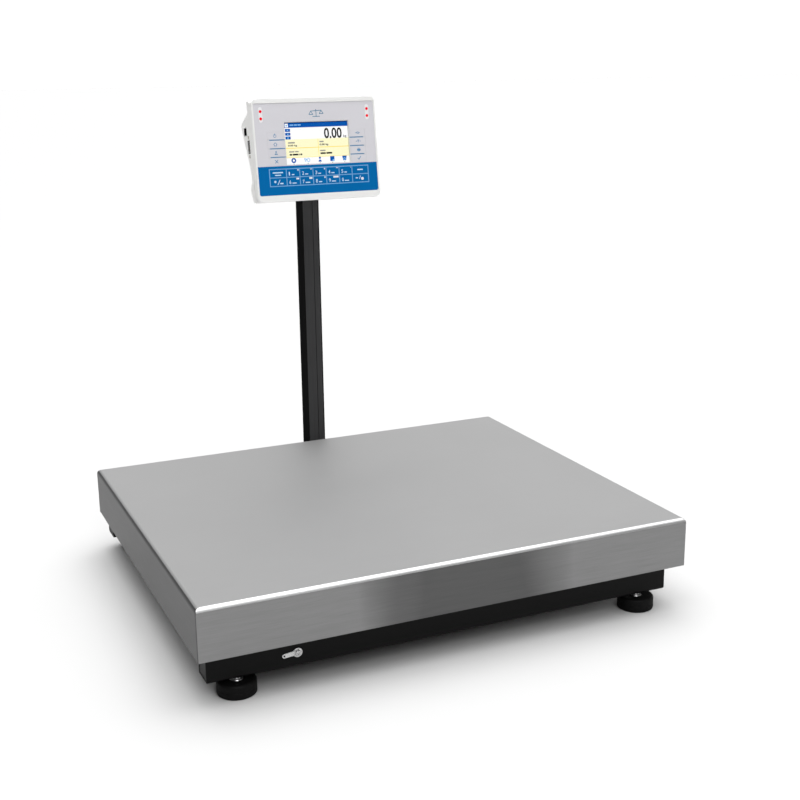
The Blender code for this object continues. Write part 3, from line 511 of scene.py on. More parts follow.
def disc(centre, radius, near, far, sides=24, top=None):
    """A round plate or a low cone between two heights."""
    bm = bmesh.new()
    bmesh.ops.create_cone(
        bm, cap_ends=True, segments=sides, radius1=radius, radius2=radius if top is None else top,
        depth=far - near,
    )
    bmesh.ops.translate(bm, vec=(centre[0], centre[1], (near + far) / 2), verts=bm.verts)
    return bm


def ring(centre, outer, inner, near, far, sides=24):
    """A flat ring between two heights."""
    bm = bmesh.new()
    edges = []
    for radius in (outer, inner):
        verts = bmesh.ops.create_circle(bm, cap_ends=False, segments=sides, radius=radius)["verts"]
        edges += {edge for vert in verts for edge in vert.link_edges}
    bmesh.ops.bridge_loops(bm, edges=edges)
    bmesh.ops.translate(bm, vec=(centre[0], centre[1], near), verts=bm.verts)
    return extruded(bm, far - near)


def bar(start, end, width, near, far, cap=0.35):
    """A flat stroke between two points, with softened ends."""
    start, end = Vector(start), Vector(end)
    run = end - start
    bm = sheet((-run.length / 2 - width / 2, -width / 2), (run.length / 2 + width / 2, width / 2),
               width * cap, 2)
    angle = math.atan2(run.y, run.x)
    bmesh.ops.rotate(bm, matrix=Matrix.Rotation(angle, 3, "Z"), verts=bm.verts)
    middle = (start + end) / 2
    bmesh.ops.translate(bm, vec=(middle.x, middle.y, near), verts=bm.verts)
    return extruded(bm, far - near)


def plate(low, high, near, far, corner=0.0):
    """A rectangular plate between two heights, with round corners."""
    bm = sheet(low, high, corner, 3)
    bmesh.ops.translate(bm, vec=(0.0, 0.0, near), verts=bm.verts)
    return extruded(bm, far - near)


def flat(points, near, far):
    """A plate from a few corners in u and v."""
    bm = bmesh.new()
    bm.faces.new([bm.verts.new((u, v, near)) for u, v in points])
    return extruded(bm, far - near)


def lathe(profile, steps=32):
    """A closed solid turned about Z from a profile of radius and height that starts and ends on
    the axis or closes on itself."""
    bm = bmesh.new()
    verts = [bm.verts.new((radius, 0.0, height)) for radius, height in profile]
    edges = [bm.edges.new(pair) for pair in zip(verts, verts[1:])]
    bmesh.ops.spin(
        bm, geom=[*verts, *edges], cent=(0.0, 0.0, 0.0), axis=(0.0, 0.0, 1.0), dvec=(0.0, 0.0, 0.0),
        angle=math.tau, steps=steps, use_merge=True, use_duplicate=False,
    )
    bmesh.ops.remove_doubles(bm, verts=bm.verts, dist=0.002 * MM)
    bmesh.ops.recalc_face_normals(bm, faces=bm.faces)
    return bm


def fillet(centre, radius, start, end, count=4):
    """Points of an arc for a profile, between two angles in degrees."""
    angles = [math.radians(start + (end - start) * step / count) for step in range(count + 1)]
    return [(centre[0] + radius * math.cos(a), centre[1] + radius * math.sin(a)) for a in angles]


def lettering(body, low, high, near, far, heavy=0.0):
    """Digits or a unit sign as a solid that fills a rectangle."""
    curve = bpy.data.curves.new("lettering", "FONT")
    curve.body = body
    curve.extrude = 0.05
    curve.offset = heavy
    curve.resolution_u = 3
    guide = bpy.data.objects.new("lettering", curve)
    bpy.context.scene.collection.objects.link(guide)
    evaluated = guide.evaluated_get(bpy.context.evaluated_depsgraph_get())
    mesh = bpy.data.meshes.new_from_object(evaluated)
    bpy.data.objects.remove(guide, do_unlink=True)
    bpy.data.curves.remove(curve)
    bm = bmesh.new()
    bm.from_mesh(mesh)
    bpy.data.meshes.remove(mesh)
    bmesh.ops.remove_doubles(bm, verts=bm.verts, dist=1e-5)
    spans = [[vert.co[axis] for vert in bm.verts] for axis in range(3)]
    for axis, (start, end) in enumerate(((low[0], high[0]), (low[1], high[1]), (near, far))):
        first, last = min(spans[axis]), max(spans[axis])
        move = Vector((0.0, 0.0, 0.0))
        move[axis] = -first
        bmesh.ops.translate(bm, vec=move, verts=bm.verts)
        grow = Vector((1.0, 1.0, 1.0))
        grow[axis] = (end - start) / (last - first)
        bmesh.ops.scale(bm, vec=grow, verts=bm.verts)
        move[axis] = start
        bmesh.ops.translate(bm, vec=move, verts=bm.verts)
    bmesh.ops.recalc_face_normals(bm, faces=bm.faces)
    return bm


def socket_screw(radius, height, key_radius, depth, shank, reach, sides=24):
    """A cap screw with a hexagon socket, its seat at zero and its head towards +Z."""
    bm = bmesh.new()
    rims = []
    for count, size in ((sides, radius), (6, key_radius)):
        verts = bmesh.ops.create_circle(bm, cap_ends=False, segments=count, radius=size)["verts"]
        rims.append({edge for vert in verts for edge in vert.link_edges})
    bmesh.ops.translate(bm, vec=(0.0, 0.0, height), verts=bm.verts)
    bmesh.ops.bridge_loops(bm, edges=[*rims[0], *rims[1]])
    for rim, drop in ((rims[1], depth), (rims[0], height)):
        made = bmesh.ops.extrude_edge_only(bm, edges=list(rim))
        verts = of_kind(made, bmesh.types.BMVert)
        bmesh.ops.translate(bm, vec=(0.0, 0.0, -drop), verts=verts)
        lower = [edge for edge in of_kind(made, bmesh.types.BMEdge)
                 if all(vert in verts for vert in edge.verts)]
        bmesh.ops.edgeloop_fill(bm, edges=lower)
    bmesh.ops.recalc_face_normals(bm, faces=bm.faces)

    def on_rim(vert):
        return abs(vert.co.z - height) < 1e-6 and vert.co.xy.length > radius * 0.98

    rounded(bm, [edge for edge in bm.edges if all(map(on_rim, edge.verts))], radius * 0.10, 2)
    add(bm, disc((0.0, 0.0), shank, -reach, 0.05 * MM, 16))
    return bm


def cross_screw(radius, dome, recess, depth, steps=20):
    """A domed head with a cross recess, its seat at zero and its head towards +Z."""
    profile = [(0.0, dome), (recess, dome * 0.97), (radius * 0.75, dome * 0.86),
               (radius * 0.93, dome * 0.60), (radius, dome * 0.30), (radius, 0.0), (0.0, 0.0)]
    bm = lathe(profile, steps)
    arm = recess * 0.26
    for axis in (0, 1):
        for value in (-arm, arm):
            split(bm, axis, value)
    chosen = []
    for face in bm.faces:
        middle = face.calc_center_median()
        narrow = min(abs(middle.x), abs(middle.y)) < arm
        if narrow and middle.z > dome * 0.9 and middle.xy.length < recess:
            chosen.append(face)
    sunk(bm, chosen, (0.0, 0.0, -depth))
    bmesh.ops.recalc_face_normals(bm, faces=bm.faces)
    return bm


def add(target, made, finish=0, place=None):
    """Join a small bmesh to a larger one, moved to its place and given its finish."""
    if place is not None:
        bmesh.ops.transform(made, matrix=place, verts=made.verts)
    for face in made.faces:
        face.material_index = finish
    scratch = bpy.data.meshes.new("scratch")
    made.to_mesh(scratch)
    made.free()
    target.from_mesh(scratch)
    bpy.data.meshes.remove(scratch)
    return target


def piece(name, bm, finishes, body, replaced=(), place=None, sharp=32.0, weighted=True):
    """Turn a bmesh into a finished piece that rides on a body."""
    if place is not None:
        bmesh.ops.transform(bm, matrix=place, verts=bm.verts)
    mesh = bpy.data.meshes.new(name)
    bm.to_mesh(mesh)
    bm.free()
    for finish in finishes:
        mesh.materials.append(finish)
    mesh.shade_smooth()
    mesh.set_sharp_from_angle(angle=math.radians(sharp))
    obj = bpy.data.objects.new(name, mesh)
    bpy.context.scene.collection.objects.link(obj)
    if weighted:
        normals = obj.modifiers.new("normals", "WEIGHTED_NORMAL")
        normals.keep_sharp = True
    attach(obj, body)
    if replaced:
        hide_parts(*replaced)
    return obj


def at(x, y, z):
    """A move to a point."""
    return Matrix.Translation((x, y, z))


def facing(direction):
    """A turn that brings +Z to a direction."""
    return Vector(direction).to_track_quat("Z", "Y").to_matrix().to_4x4()


def repaint(nodes, finish):
    """Give CAD nodes a better finish."""
    for name in nodes:
        materials = frame["nodes"][name].data.materials
        if not len(materials):
            materials.append(finish)
        for index in range(len(materials)):
            materials[index] = finish


# ---------------------------------------------------------------- pan and base

WELD_REGION = 7.0 * MM
WELD_ANGLE = math.radians(14)


class SCALE_OT_pan(bpy.types.Operator):
    """Folded stainless weighing pan with ground corner welds"""

    bl_idname = "bench_scale.pan"
    bl_label = "Weighing pan"

    def execute(self, context):
        size = sizes()
        low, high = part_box("weighing_pan")
        bm = block(low, high)
        bottom = [face for face in bm.faces if face.normal.z < -0.5]
        bmesh.ops.delete(bm, geom=bottom, context="FACES_ONLY")
        top = [edge for edge in bm.edges if all(vert.co.z > high.z - MM for vert in edge.verts)]
        rounded(bm, top, size.pan_bend, 7)
        welds = [
            edge for edge in bm.edges
            if len(edge.link_faces) == 2 and edge.calc_face_angle() > WELD_ANGLE
            and all(abs(vert.co.x) > high.x - WELD_REGION for vert in edge.verts)
            and not runs_along(0)(edge) and not runs_along(1)(edge)
        ]
        rounded(bm, welds, size.pan_corner, 3)
        bmesh.ops.remove_doubles(bm, verts=bm.verts, dist=0.005 * MM)
        bm.normal_update()
        # The faces get lit and shaded copies of the steel: painted shade on the sides, front and rear,
        # and a painted highlight on the front and rear bends.
        for face in bm.faces:
            normal = face.normal
            if abs(normal.x) > 0.6:
                face.material_index = PAN_SIDE
            elif abs(normal.y) > 0.97:
                face.material_index = PAN_FRONT
            elif abs(normal.z) > 0.2 and abs(normal.y) > 0.3:
                face.material_index = PAN_BEND
            else:
                face.material_index = PAN_TOP
        pan = piece("stainless_pan", bm, steel_finishes(), "pan", ("weighing_pan",),
                    sharp=40.0, weighted=False)
        solid = pan.modifiers.new("sheet", "SOLIDIFY")
        solid.thickness = size.pan_sheet
        solid.offset = -1.0
        solid.use_even_offset = True
        normals = pan.modifiers.new("normals", "WEIGHTED_NORMAL")
        normals.keep_sharp = True
        return {"FINISHED"}


class SCALE_OT_tubes(bpy.types.Operator):
    """Front and rear cross tubes with welded end plates"""

    bl_idname = "bench_scale.tubes"
    bl_label = "Cross tubes"

    def execute(self, context):
        for end in ("front", "rear"):
            name, node = end + "_cross_tube", "base_" + end + "_tube"
            low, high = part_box(node)
            bm = block(low, high, sizes().tube_edge, 4, runs_along(0))
            ends = [edge for edge in bm.edges
                    if len({abs(face.normal.x) > 0.9 for face in edge.link_faces}) == 2]
            rounded(bm, ends, 0.9 * MM, 2)
            caps = [face for face in bm.faces
                    if abs(face.normal.x) > 0.99 and face.calc_area() > 100.0 * MM * MM]
            for cap in caps:
                bmesh.ops.inset_region(bm, faces=[cap], thickness=1.6 * MM, depth=0.0)
                bmesh.ops.inset_region(bm, faces=[cap], thickness=0.4 * MM, depth=-0.5 * MM)
            piece(name, bm, [paint_finish()], "base", (node,))
        return {"FINISHED"}


class SCALE_OT_hidden_structure(bpy.types.Operator):
    """Finishes of the beam, the load cell, the upper frame and the brackets"""

    bl_idname = "bench_scale.structure"
    bl_label = "Structure finishes"

    def execute(self, context):
        painted = ("base_beam", "upper_frame", "column_bracket", "column_head", "terminal_bracket")
        repaint(painted, paint_finish())
        repaint(("load_cell",), aluminium_finish())
        bolts = [name for name in frame["nodes"] if name.startswith(("cell_base_bolt", "cell_top_bolt"))]
        repaint(bolts, zinc_finish())
        bumpers = [name for name in frame["nodes"] if name.startswith("pan_bumper")]
        repaint(bumpers, rubber_and_painted_shade_finish())
        repaint(("load_cell_cable",), black_plastic_finish())
        repaint(("main_board",), board_finish())
        return {"FINISHED"}


def foot_shape(height, radius, stud_top, stud_radius, pitch):
    """A moulded pad with a threaded stud and a collar round it, from the floor up."""
    root = stud_radius * 0.84
    pad = [(0.0, height - 1.5 * MM), (stud_radius + 2.2 * MM, height - 1.5 * MM),
           (stud_radius + 2.8 * MM, height), (radius - 4.2 * MM, height)]
    pad += fillet((radius - 3.2 * MM, height - 3.2 * MM), 3.2 * MM, 75, 0, 5)
    groove = radius - 0.25 * MM
    pad += [(radius, height * 0.52), (groove, height * 0.50), (groove, height * 0.46),
            (radius, height * 0.44)]
    pad += fillet((radius - 1.8 * MM, 1.8 * MM), 1.8 * MM, 0, -90, 4)
    pad += [(radius - 6.0 * MM, 0.0), (radius - 6.5 * MM, 0.6 * MM), (0.0, 0.6 * MM)]
    bm = lathe(pad, 56)
    thread = [(0.0, stud_top), (stud_radius * 0.78, stud_top), (root, stud_top - 0.6 * MM)]
    level = stud_top - pitch
    while level > height + 0.4 * MM:
        thread += [(stud_radius, level + pitch * 0.45), (stud_radius, level + pitch * 0.30),
                   (root, level)]
        level -= pitch
    thread += [(stud_radius, height), (stud_radius, height - 3.0 * MM), (0.0, height - 3.0 * MM)]
    add(bm, lathe(thread, 28), 1)
    bore, rim = stud_radius * 0.9, 7.4 * MM
    collar_top, collar_foot = height + 0.4 * MM, height - 1.6 * MM
    collar = [(bore, collar_top), (7.0 * MM, collar_top), (rim, height - 0.2 * MM), (rim, collar_foot),
              (bore, collar_foot), (bore, collar_top)]
    add(bm, lathe(collar, 28), 1)
    return bm


STUD_RADIUS = 5.0 * MM
STUD_SHOWING = 4.0 * MM


class SCALE_OT_feet(bpy.types.Operator):
    """Levelling feet: moulded pads on threaded studs"""

    bl_idname = "bench_scale.feet"
    bl_label = "Levelling feet"

    def execute(self, context):
        for node in [name for name in frame["nodes"] if name.startswith("foot_")]:
            low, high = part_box(node)
            centre = (low + high) / 2
            radius = (high.x - low.x) / 2
            tube = "base_front_tube" if "front" in node else "base_rear_tube"
            pad_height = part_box(tube)[0].z - low.z - STUD_SHOWING
            bm = foot_shape(pad_height, radius, high.z - low.z, STUD_RADIUS, sizes().thread_pitch)
            piece(node.replace("foot", "levelling_foot"), bm, [rubber_and_painted_shade_finish(), zinc_finish()], node,
                  (node,), at(centre.x, centre.y, low.z), weighted=False)
        return {"FINISHED"}


# A drawing on the front tube's face: u to the right, v up, w forwards.
FRONT_DRAWING = Matrix(
    ((1.0, 0.0, 0.0, 0.0), (0.0, 0.0, -1.0, 0.0), (0.0, 1.0, 0.0, 0.0), (0.0, 0.0, 0.0, 1.0))
)


class SCALE_OT_earth_terminal(bpy.types.Operator):
    """Solder lug, toothed washer and screw on the front tube"""

    bl_idname = "bench_scale.earth_terminal"
    bl_label = "Earth terminal"

    def execute(self, context):
        low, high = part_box("earth_lug")
        screw_low, screw_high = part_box("earth_screw")
        centre = (screw_low + screw_high) / 2
        seat = high.y
        ring_radius = (high.z - low.z) / 2
        thickness = high.y - low.y
        tab_half = 2.5 * MM
        tip = Vector((low.x - centre.x + tab_half, -1.4 * MM))
        root = Vector((-ring_radius * 0.80, tip.y * 0.25))
        bm = bmesh.new()
        add(bm, ring((0.0, 0.0), ring_radius, 2.2 * MM, 0.0, thickness, 32))
        add(bm, bar(root, tip, tab_half * 2, 0.04 * MM, thickness - 0.04 * MM, 0.5))
        add(bm, ring(tip, 1.75 * MM, 1.1 * MM, -0.02 * MM, thickness + 0.12 * MM, 20))
        stamped = [edge for edge in bm.edges if edge.is_manifold and edge.calc_face_angle() > 1.2]
        rounded(bm, stamped, 0.12 * MM, 1)
        add(bm, disc(tip, 1.08 * MM, thickness + 0.02 * MM, thickness + 0.08 * MM, 20), 1)
        piece("earth_solder_lug", bm, [zinc_finish(), paint_finish()], "base",
              ("earth_lug",), at(centre.x, seat, centre.z) @ FRONT_DRAWING)

        bm = bmesh.new()
        washer = 0.35 * MM
        add(bm, ring((0.0, 0.0), 3.7 * MM, 2.1 * MM, 0.0, washer, 32))
        teeth = 10
        for step in range(teeth):
            tooth = bar((2.7 * MM, 0.0), (4.0 * MM, 0.0), 0.9 * MM, 0.05 * MM, 0.5 * MM)
            add(bm, tooth, 0, Matrix.Rotation(math.tau * step / teeth, 4, "Z"))
        add(bm, cross_screw(3.4 * MM, 1.5 * MM, 2.0 * MM, 0.9 * MM), 0, at(0.0, 0.0, washer))
        add(bm, disc((0.0, 0.0), 1.9 * MM, -7.0 * MM, 0.4 * MM, 16))
        place = at(centre.x, seat - thickness - 0.05 * MM, centre.z) @ facing((0.0, -1.0, 0.0))
        piece("earth_terminal_screw", bm, [zinc_finish()], "base", ("earth_screw",), place)
        return {"FINISHED"}


class SCALE_OT_spirit_level(bpy.types.Operator):
    """Round spirit level with its ring, liquid, bubble and target"""

    bl_idname = "bench_scale.spirit_level"
    bl_label = "Spirit level"

    def execute(self, context):
        low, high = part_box("spirit_level")
        centre = (low + high) / 2
        radius = (high.x - low.x) / 2
        height = high.z - low.z
        bm = bmesh.new()
        rim, bed = height - 0.4 * MM, height - 1.2 * MM
        cup = [(0.0, 0.0), (radius - 0.4 * MM, 0.0), (radius, 0.4 * MM), (radius, height - 0.8 * MM),
               (radius - 0.3 * MM, rim), (radius - 1.1 * MM, rim), (radius - 1.2 * MM, bed), (0.0, bed)]
        add(bm, lathe(cup, 36))
        glass = [(0.0, height - 1.3 * MM), (radius - 1.25 * MM, height - 1.3 * MM),
                 (radius - 1.25 * MM, height - 0.5 * MM), (radius * 0.45, height - 0.08 * MM),
                 (0.0, height)]
        add(bm, lathe(glass, 36), 1)
        add(bm, ring((0.0, 0.0), 2.0 * MM, 1.75 * MM, height - 0.12 * MM, height - 0.03 * MM, 28), 2)
        bubble = [(0.0, height - 0.35 * MM), (1.2 * MM, height - 0.25 * MM),
                  (1.3 * MM, height - 0.12 * MM), (0.9 * MM, height - 0.06 * MM),
                  (0.0, height - 0.02 * MM)]
        add(bm, lathe(bubble, 24), 3, at(0.25 * MM, 0.1 * MM, 0.0))
        liquid = moulded("level_liquid", (0.45, 0.68, 0.08), 0.12, grain=300.0, spread=0.08, relief=0.05,
                         Coat_Weight=0.6)
        air = moulded("level_bubble", (0.80, 0.90, 0.55), 0.10, grain=300.0, spread=0.05, relief=0.05)
        finishes = [black_plastic_finish(), liquid, black_plastic_finish(), air]
        piece("round_spirit_level", bm, finishes, "base", ("spirit_level",),
              at(centre.x, centre.y, low.z), weighted=False)
        return {"FINISHED"}


# ---------------------------------------------------------------- column and tilt joint

class SCALE_OT_column(bpy.types.Operator):
    """Black column profile with its groove, and the screws of its foot"""

    bl_idname = "bench_scale.column"
    bl_label = "Column"

    def execute(self, context):
        low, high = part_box("column")
        left, right, front, rear = low.x, high.x, low.y, high.y
        middle = (left + right) / 2
        corner, edge = 5.6 * MM, 1.2 * MM
        groove, half, depth, step = middle + 1.6 * MM, 0.55 * MM, 0.9 * MM, 0.15 * MM
        bm = bmesh.new()
        outline = fillet((left + edge, front + edge), edge, 180, 270, 4)
        outline += [(groove - half, front), (groove - half * 0.6, front + depth),
                    (groove + half * 0.6, front + depth), (groove + half, front + step)]
        outline += [(middle + 5.6 * MM, front + step), (middle + 6.3 * MM, front),
                    (middle + 7.0 * MM, front + 0.10 * MM)]
        outline += fillet((right - corner, front + corner), corner, 285, 360, 7)
        outline += fillet((right - edge, rear - edge), edge, 0, 90, 4)
        outline += fillet((left + edge, rear - edge), edge, 90, 180, 4)
        add(bm, flat(outline, low.z, high.z))
        bm.normal_update()
        # The sides get the copy with painted shade.
        for face in bm.faces:
            face.material_index = 1 if abs(face.normal.x) > 0.5 else 0
        piece("column_profile", bm, profile_finishes(), "base", ("column",), sharp=24.0)

        bm = bmesh.new()
        bracket_low, bracket_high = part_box("column_bracket")
        half_width = (bracket_high.x - bracket_low.x) / 2
        for level in (0.30, 0.78):
            height = bracket_low.z + (bracket_high.z - bracket_low.z) * level
            for sign in (-1.0, 1.0):
                place = at(middle + sign * (half_width - 0.02 * MM), (front + rear) / 2, height)
                screw = socket_screw(3.2 * MM, 1.6 * MM, 1.7 * MM, 1.1 * MM, 1.5 * MM, 2.0 * MM)
                add(bm, screw, 0, place @ facing((sign, 0.0, 0.0)))
        piece("column_foot_screws", bm, [zinc_finish()], "base")
        return {"FINISHED"}


class SCALE_OT_tilt_knob(bpy.types.Operator):
    """Lobed clamping knob with its stud"""

    bl_idname = "bench_scale.tilt_knob"
    bl_label = "Tilt knob"

    def execute(self, context):
        low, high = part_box("tilt_knob")
        pivot = Vector(TILT_AXIS["pos_m"])
        radius = (high.z - low.z) / 2
        start = pivot.x + 14.0 * MM
        length = high.x - start
        neck_length, lobe_height, per_lobe = 3.0 * MM, 0.8 * MM, 8
        mean = radius - lobe_height
        bm = bmesh.new()
        sides = sizes().knob_lobes * per_lobe
        verts = bmesh.ops.create_circle(bm, cap_ends=True, segments=sides, radius=mean)["verts"]
        for index, vert in enumerate(verts):
            wave = math.cos(math.tau * index / per_lobe)
            vert.co.xy = vert.co.xy * (1.0 + lobe_height * wave / mean)
        extruded(bm, length - neck_length)
        bmesh.ops.translate(bm, vec=(0.0, 0.0, neck_length), verts=bm.verts)
        rims = [edge for edge in bm.edges if edge.calc_face_angle() > math.radians(60)
                and abs(edge.verts[0].co.z - edge.verts[1].co.z) < 1e-6]
        rounded(bm, rims, 1.2 * MM, 3)
        top = [face for face in bm.faces if face.normal.z > 0.99 and face.calc_area() > 50.0 * MM * MM]
        bmesh.ops.inset_region(bm, faces=top, thickness=2.6 * MM, depth=0.0)
        bmesh.ops.inset_region(bm, faces=top, thickness=0.5 * MM, depth=-0.6 * MM)
        neck = [(0.0, 0.0), (5.6 * MM, 0.0), (6.0 * MM, 0.4 * MM), (6.0 * MM, 2.6 * MM),
                (7.5 * MM, 3.4 * MM), (0.0, 3.4 * MM)]
        add(bm, lathe(neck, 32))
        tip = low.x - start
        stud = [(0.0, 1.0 * MM), (3.9 * MM, 1.0 * MM), (3.9 * MM, tip + 0.5 * MM), (3.4 * MM, tip),
                (0.0, tip)]
        add(bm, lathe(stud, 24), 1)
        place = at(start, pivot.y, pivot.z) @ facing((1.0, 0.0, 0.0))
        piece("lobed_tilt_knob", bm, [black_plastic_finish(), zinc_finish()], "knob",
              ("tilt_knob",), place)
        return {"FINISHED"}


# ---------------------------------------------------------------- terminal case

def grown(window, margin):
    """A rectangle made larger on all sides, or smaller, from its low and high corner."""
    (low_u, low_v), (high_u, high_v) = window[0][:2], window[1][:2]
    return (low_u - margin, low_v - margin), (high_u + margin, high_v + margin)


def windows_of(nodes):
    """The rectangle round a group of nodes on the face."""
    lows, highs = zip(*[face_box(node) for node in nodes])
    low = (min(corner.x for corner in lows), min(corner.y for corner in lows))
    high = (max(corner.x for corner in highs), max(corner.y for corner in highs))
    return low, high


PAD_ROWS = (
    ("key_mode", "key_1", "key_2", "key_3", "key_4", "key_5", "key_clear"),
    ("key_shift", "key_6", "key_7", "key_8", "key_9", "key_0", "key_enter"),
)
LEFT_KEYS = ("key_power", "key_home", "key_user", "key_cancel")
RIGHT_KEYS = ("key_zero", "key_tare", "key_print", "key_confirm")
ALL_KEYS = (*PAD_ROWS[0], *PAD_ROWS[1], *LEFT_KEYS, *RIGHT_KEYS)


class SCALE_OT_front_shell(bpy.types.Operator):
    """Front shell: rounded frame, recess for the film, and its openings"""

    bl_idname = "bench_scale.front_shell"
    bl_label = "Front shell"

    def execute(self, context):
        low, high = face_box("front_shell")
        film = face_box("keypad_overlay")
        bm = sheet(low, high, sizes().case_corner, 6)
        recess = grown(film, 0.10 * MM)
        windowed(bm, [recess])
        bmesh.ops.dissolve_limit(bm, angle_limit=0.01, verts=bm.verts, edges=bm.edges)
        bmesh.ops.translate(bm, vec=(0.0, 0.0, high.z), verts=bm.verts)
        extruded(bm, low.z - high.z)

        def in_recess(vert):
            return inside(vert.co, *grown(recess, MM))

        def front_rim(edge, of_recess):
            if len(edge.link_faces) != 2 or edge.calc_face_angle() < 1.0:
                return False
            on_front = all(abs(vert.co.z - high.z) < 1e-6 for vert in edge.verts)
            return on_front and all(map(in_recess, edge.verts)) == of_recess

        rounded(bm, [edge for edge in bm.edges if front_rim(edge, False)], sizes().case_edge, 4)
        rounded(bm, [edge for edge in bm.edges if front_rim(edge, True)], 0.35 * MM, 2)
        bed = sheet(*grown(recess, 0.3 * MM))
        openings = [grown(windows_of(("lcd_window",)), -0.7 * MM)]
        openings += [windows_of(keys) for keys in (PAD_ROWS[0] + PAD_ROWS[1], LEFT_KEYS, RIGHT_KEYS)]
        windowed(bed, openings)
        bmesh.ops.translate(bed, vec=(0.0, 0.0, film[0].z - 0.04 * MM), verts=bed.verts)
        add(bm, extruded(bed, -2.2 * MM))
        piece("terminal_front_shell", bm, [case_finish()], "terminal", ("front_shell",),
              FACE, sharp=36.0)
        return {"FINISHED"}


BACK_STEP = -20.5 * MM
SLOPE_FOOT = Vector((-30.0, -22.0)) * MM


def side_outline():
    """The rear shell's side outline in v and w: parting line, upper step, hump, slope and lower step."""
    low, high = face_box("rear_shell")
    return [
        (high.y, high.z), (high.y, -18.0 * MM), (64.0 * MM, BACK_STEP), (50.0 * MM, BACK_STEP),
        (39.0 * MM, -49.0 * MM), (34.0 * MM, low.z), tuple(SLOPE_FOOT), (-42.0 * MM, -23.5 * MM),
        (-49.0 * MM, -30.0 * MM), (-54.5 * MM, -30.0 * MM), (low.y, -21.5 * MM), (low.y, high.z),
    ]


def from_left(u):
    """Placement of a drawing in v and w whose depth runs to the right from a value of u."""
    return Matrix(((0.0, 0.0, 1.0, u), (1.0, 0.0, 0.0, 0.0), (0.0, 1.0, 0.0, 0.0), (0.0, 0.0, 0.0, 1.0)))


def serial_shell(low, high):
    """The part of the serial port that shows in the wall: its flange is wider, behind the wall."""
    middle = (low + high) / 2
    half = Vector((0.0, 8.5 * MM, 4.2 * MM))
    return Vector((low.x, *(middle - half).yz)), Vector((high.x, *(middle + half).yz))


def nut_places(shell):
    """Where the two nuts beside the serial port stand, in v and w."""
    middle = (shell[0] + shell[1]) / 2
    return [(middle.y + side * 12.5 * MM, middle.z) for side in (-1.0, 1.0)]


def pocket(bm, axis, level, low, high, depth, finish=None):
    """Sink a rectangular pocket into the flat faces at one level of an axis; low and high are on the
    two other axes."""
    others = [index for index in range(3) if index != axis]

    def at_level(face):
        return abs(face.calc_center_median()[axis] - level) < 1e-5 and abs(face.normal[axis]) > 0.99

    for index, other in enumerate(others):
        for value in (low[index], high[index]):
            split(bm, other, value, [face for face in bm.faces if at_level(face)])
    chosen = [face for face in bm.faces
              if at_level(face) and inside(face.calc_center_median(), low, high, others)]
    if not chosen:
        raise RuntimeError("a pocket found no face to sink")
    move = Vector((0.0, 0.0, 0.0))
    move[axis] = depth
    verts = sunk(bm, chosen, move)
    if finish is not None:
        for face in {face for vert in verts for face in vert.link_faces}:
            face.material_index = finish


class SCALE_OT_rear_shell(bpy.types.Operator):
    """Stepped rear shell with port pockets, vents, screws and a blank label"""

    bl_idname = "bench_scale.rear_shell"
    bl_label = "Rear shell"

    def execute(self, context):
        low, high = face_box("rear_shell")
        bm = flat(side_outline(), 0.0, high.x - low.x)
        bmesh.ops.transform(bm, matrix=from_left(low.x), verts=bm.verts)
        bmesh.ops.recalc_face_normals(bm, faces=bm.faces)

        def corner_edge(edge):
            ends = [vert.co for vert in edge.verts]
            at_side = all(abs(abs(end.x) - high.x) < 1e-5 for end in ends)
            return at_side and any(all(abs(end.y - v) < 1e-5 for end in ends) for v in (low.y, high.y))

        rounded(bm, [edge for edge in bm.edges if corner_edge(edge)], sizes().case_corner, 6)
        sharp_edges = [
            edge for edge in bm.edges
            if edge.calc_face_angle() > math.radians(18)
            and not all(abs(vert.co.z - high.z) < 1e-5 for vert in edge.verts)
        ]
        rounded(bm, sharp_edges, sizes().case_edge, 3)
        bm.normal_update()

        serial = serial_shell(*face_box("serial_port"))
        gap, port_depth = 0.25 * MM, 12.5 * MM
        # The walls of the gaps round the ports are given black as painted shade.
        for port_low, port_high in (face_box("usb_port"), serial):
            pocket(bm, 0, low.x, *grown((port_low.yz, port_high.yz), gap), port_depth, 1)
        nut_half, nut_depth = 2.7 * MM, 0.8 * MM
        for place in nut_places(serial):
            pocket(bm, 0, low.x, *grown((place, place), nut_half), nut_depth)
        # The vent slots are shallow pockets given black as painted shade for the dark inside.
        vents, pitch, half, height, vent_depth = 11, 7.0 * MM, 2.4 * MM, 1.4 * MM, 1.6 * MM
        for step in range(vents):
            u = (step - vents // 2) * pitch
            for v in (53.2 * MM, 57.2 * MM):
                pocket(bm, 2, BACK_STEP, (u - half, v), (u + half, v + height), vent_depth, 1)
        for side in (-1.0, 1.0):
            for v, w in ((57.0 * MM, BACK_STEP + 0.1 * MM), (-51.7 * MM, -29.9 * MM)):
                screw = cross_screw(3.2 * MM, 1.3 * MM, 1.9 * MM, 0.9 * MM)
                add(bm, screw, 2, at(side * 72.0 * MM, v, w) @ facing((0.0, 0.0, -1.0)))
        slope_top = Vector((34.0, -52.0)) * MM
        along = (SLOPE_FOOT - slope_top).normalized()
        outward = Vector((-along.y, along.x))
        spot = slope_top.lerp(SLOPE_FOOT, 0.42) + outward * 0.02 * MM
        label = plate((-17.0 * MM, -12.0 * MM), (17.0 * MM, 12.0 * MM), 0.0, 0.15 * MM, 2.0 * MM)
        add(bm, label, 3, at(-58.0 * MM, *spot) @ facing((0.0, *outward)))
        blank = film_finish("blank_label", (0.62, 0.62, 0.62))
        finishes = [case_finish(), rubber_and_painted_shade_finish(), zinc_finish(), blank]
        piece("terminal_rear_shell", bm, finishes, "terminal", ("rear_shell",), FACE,
              sharp=36.0)
        return {"FINISHED"}


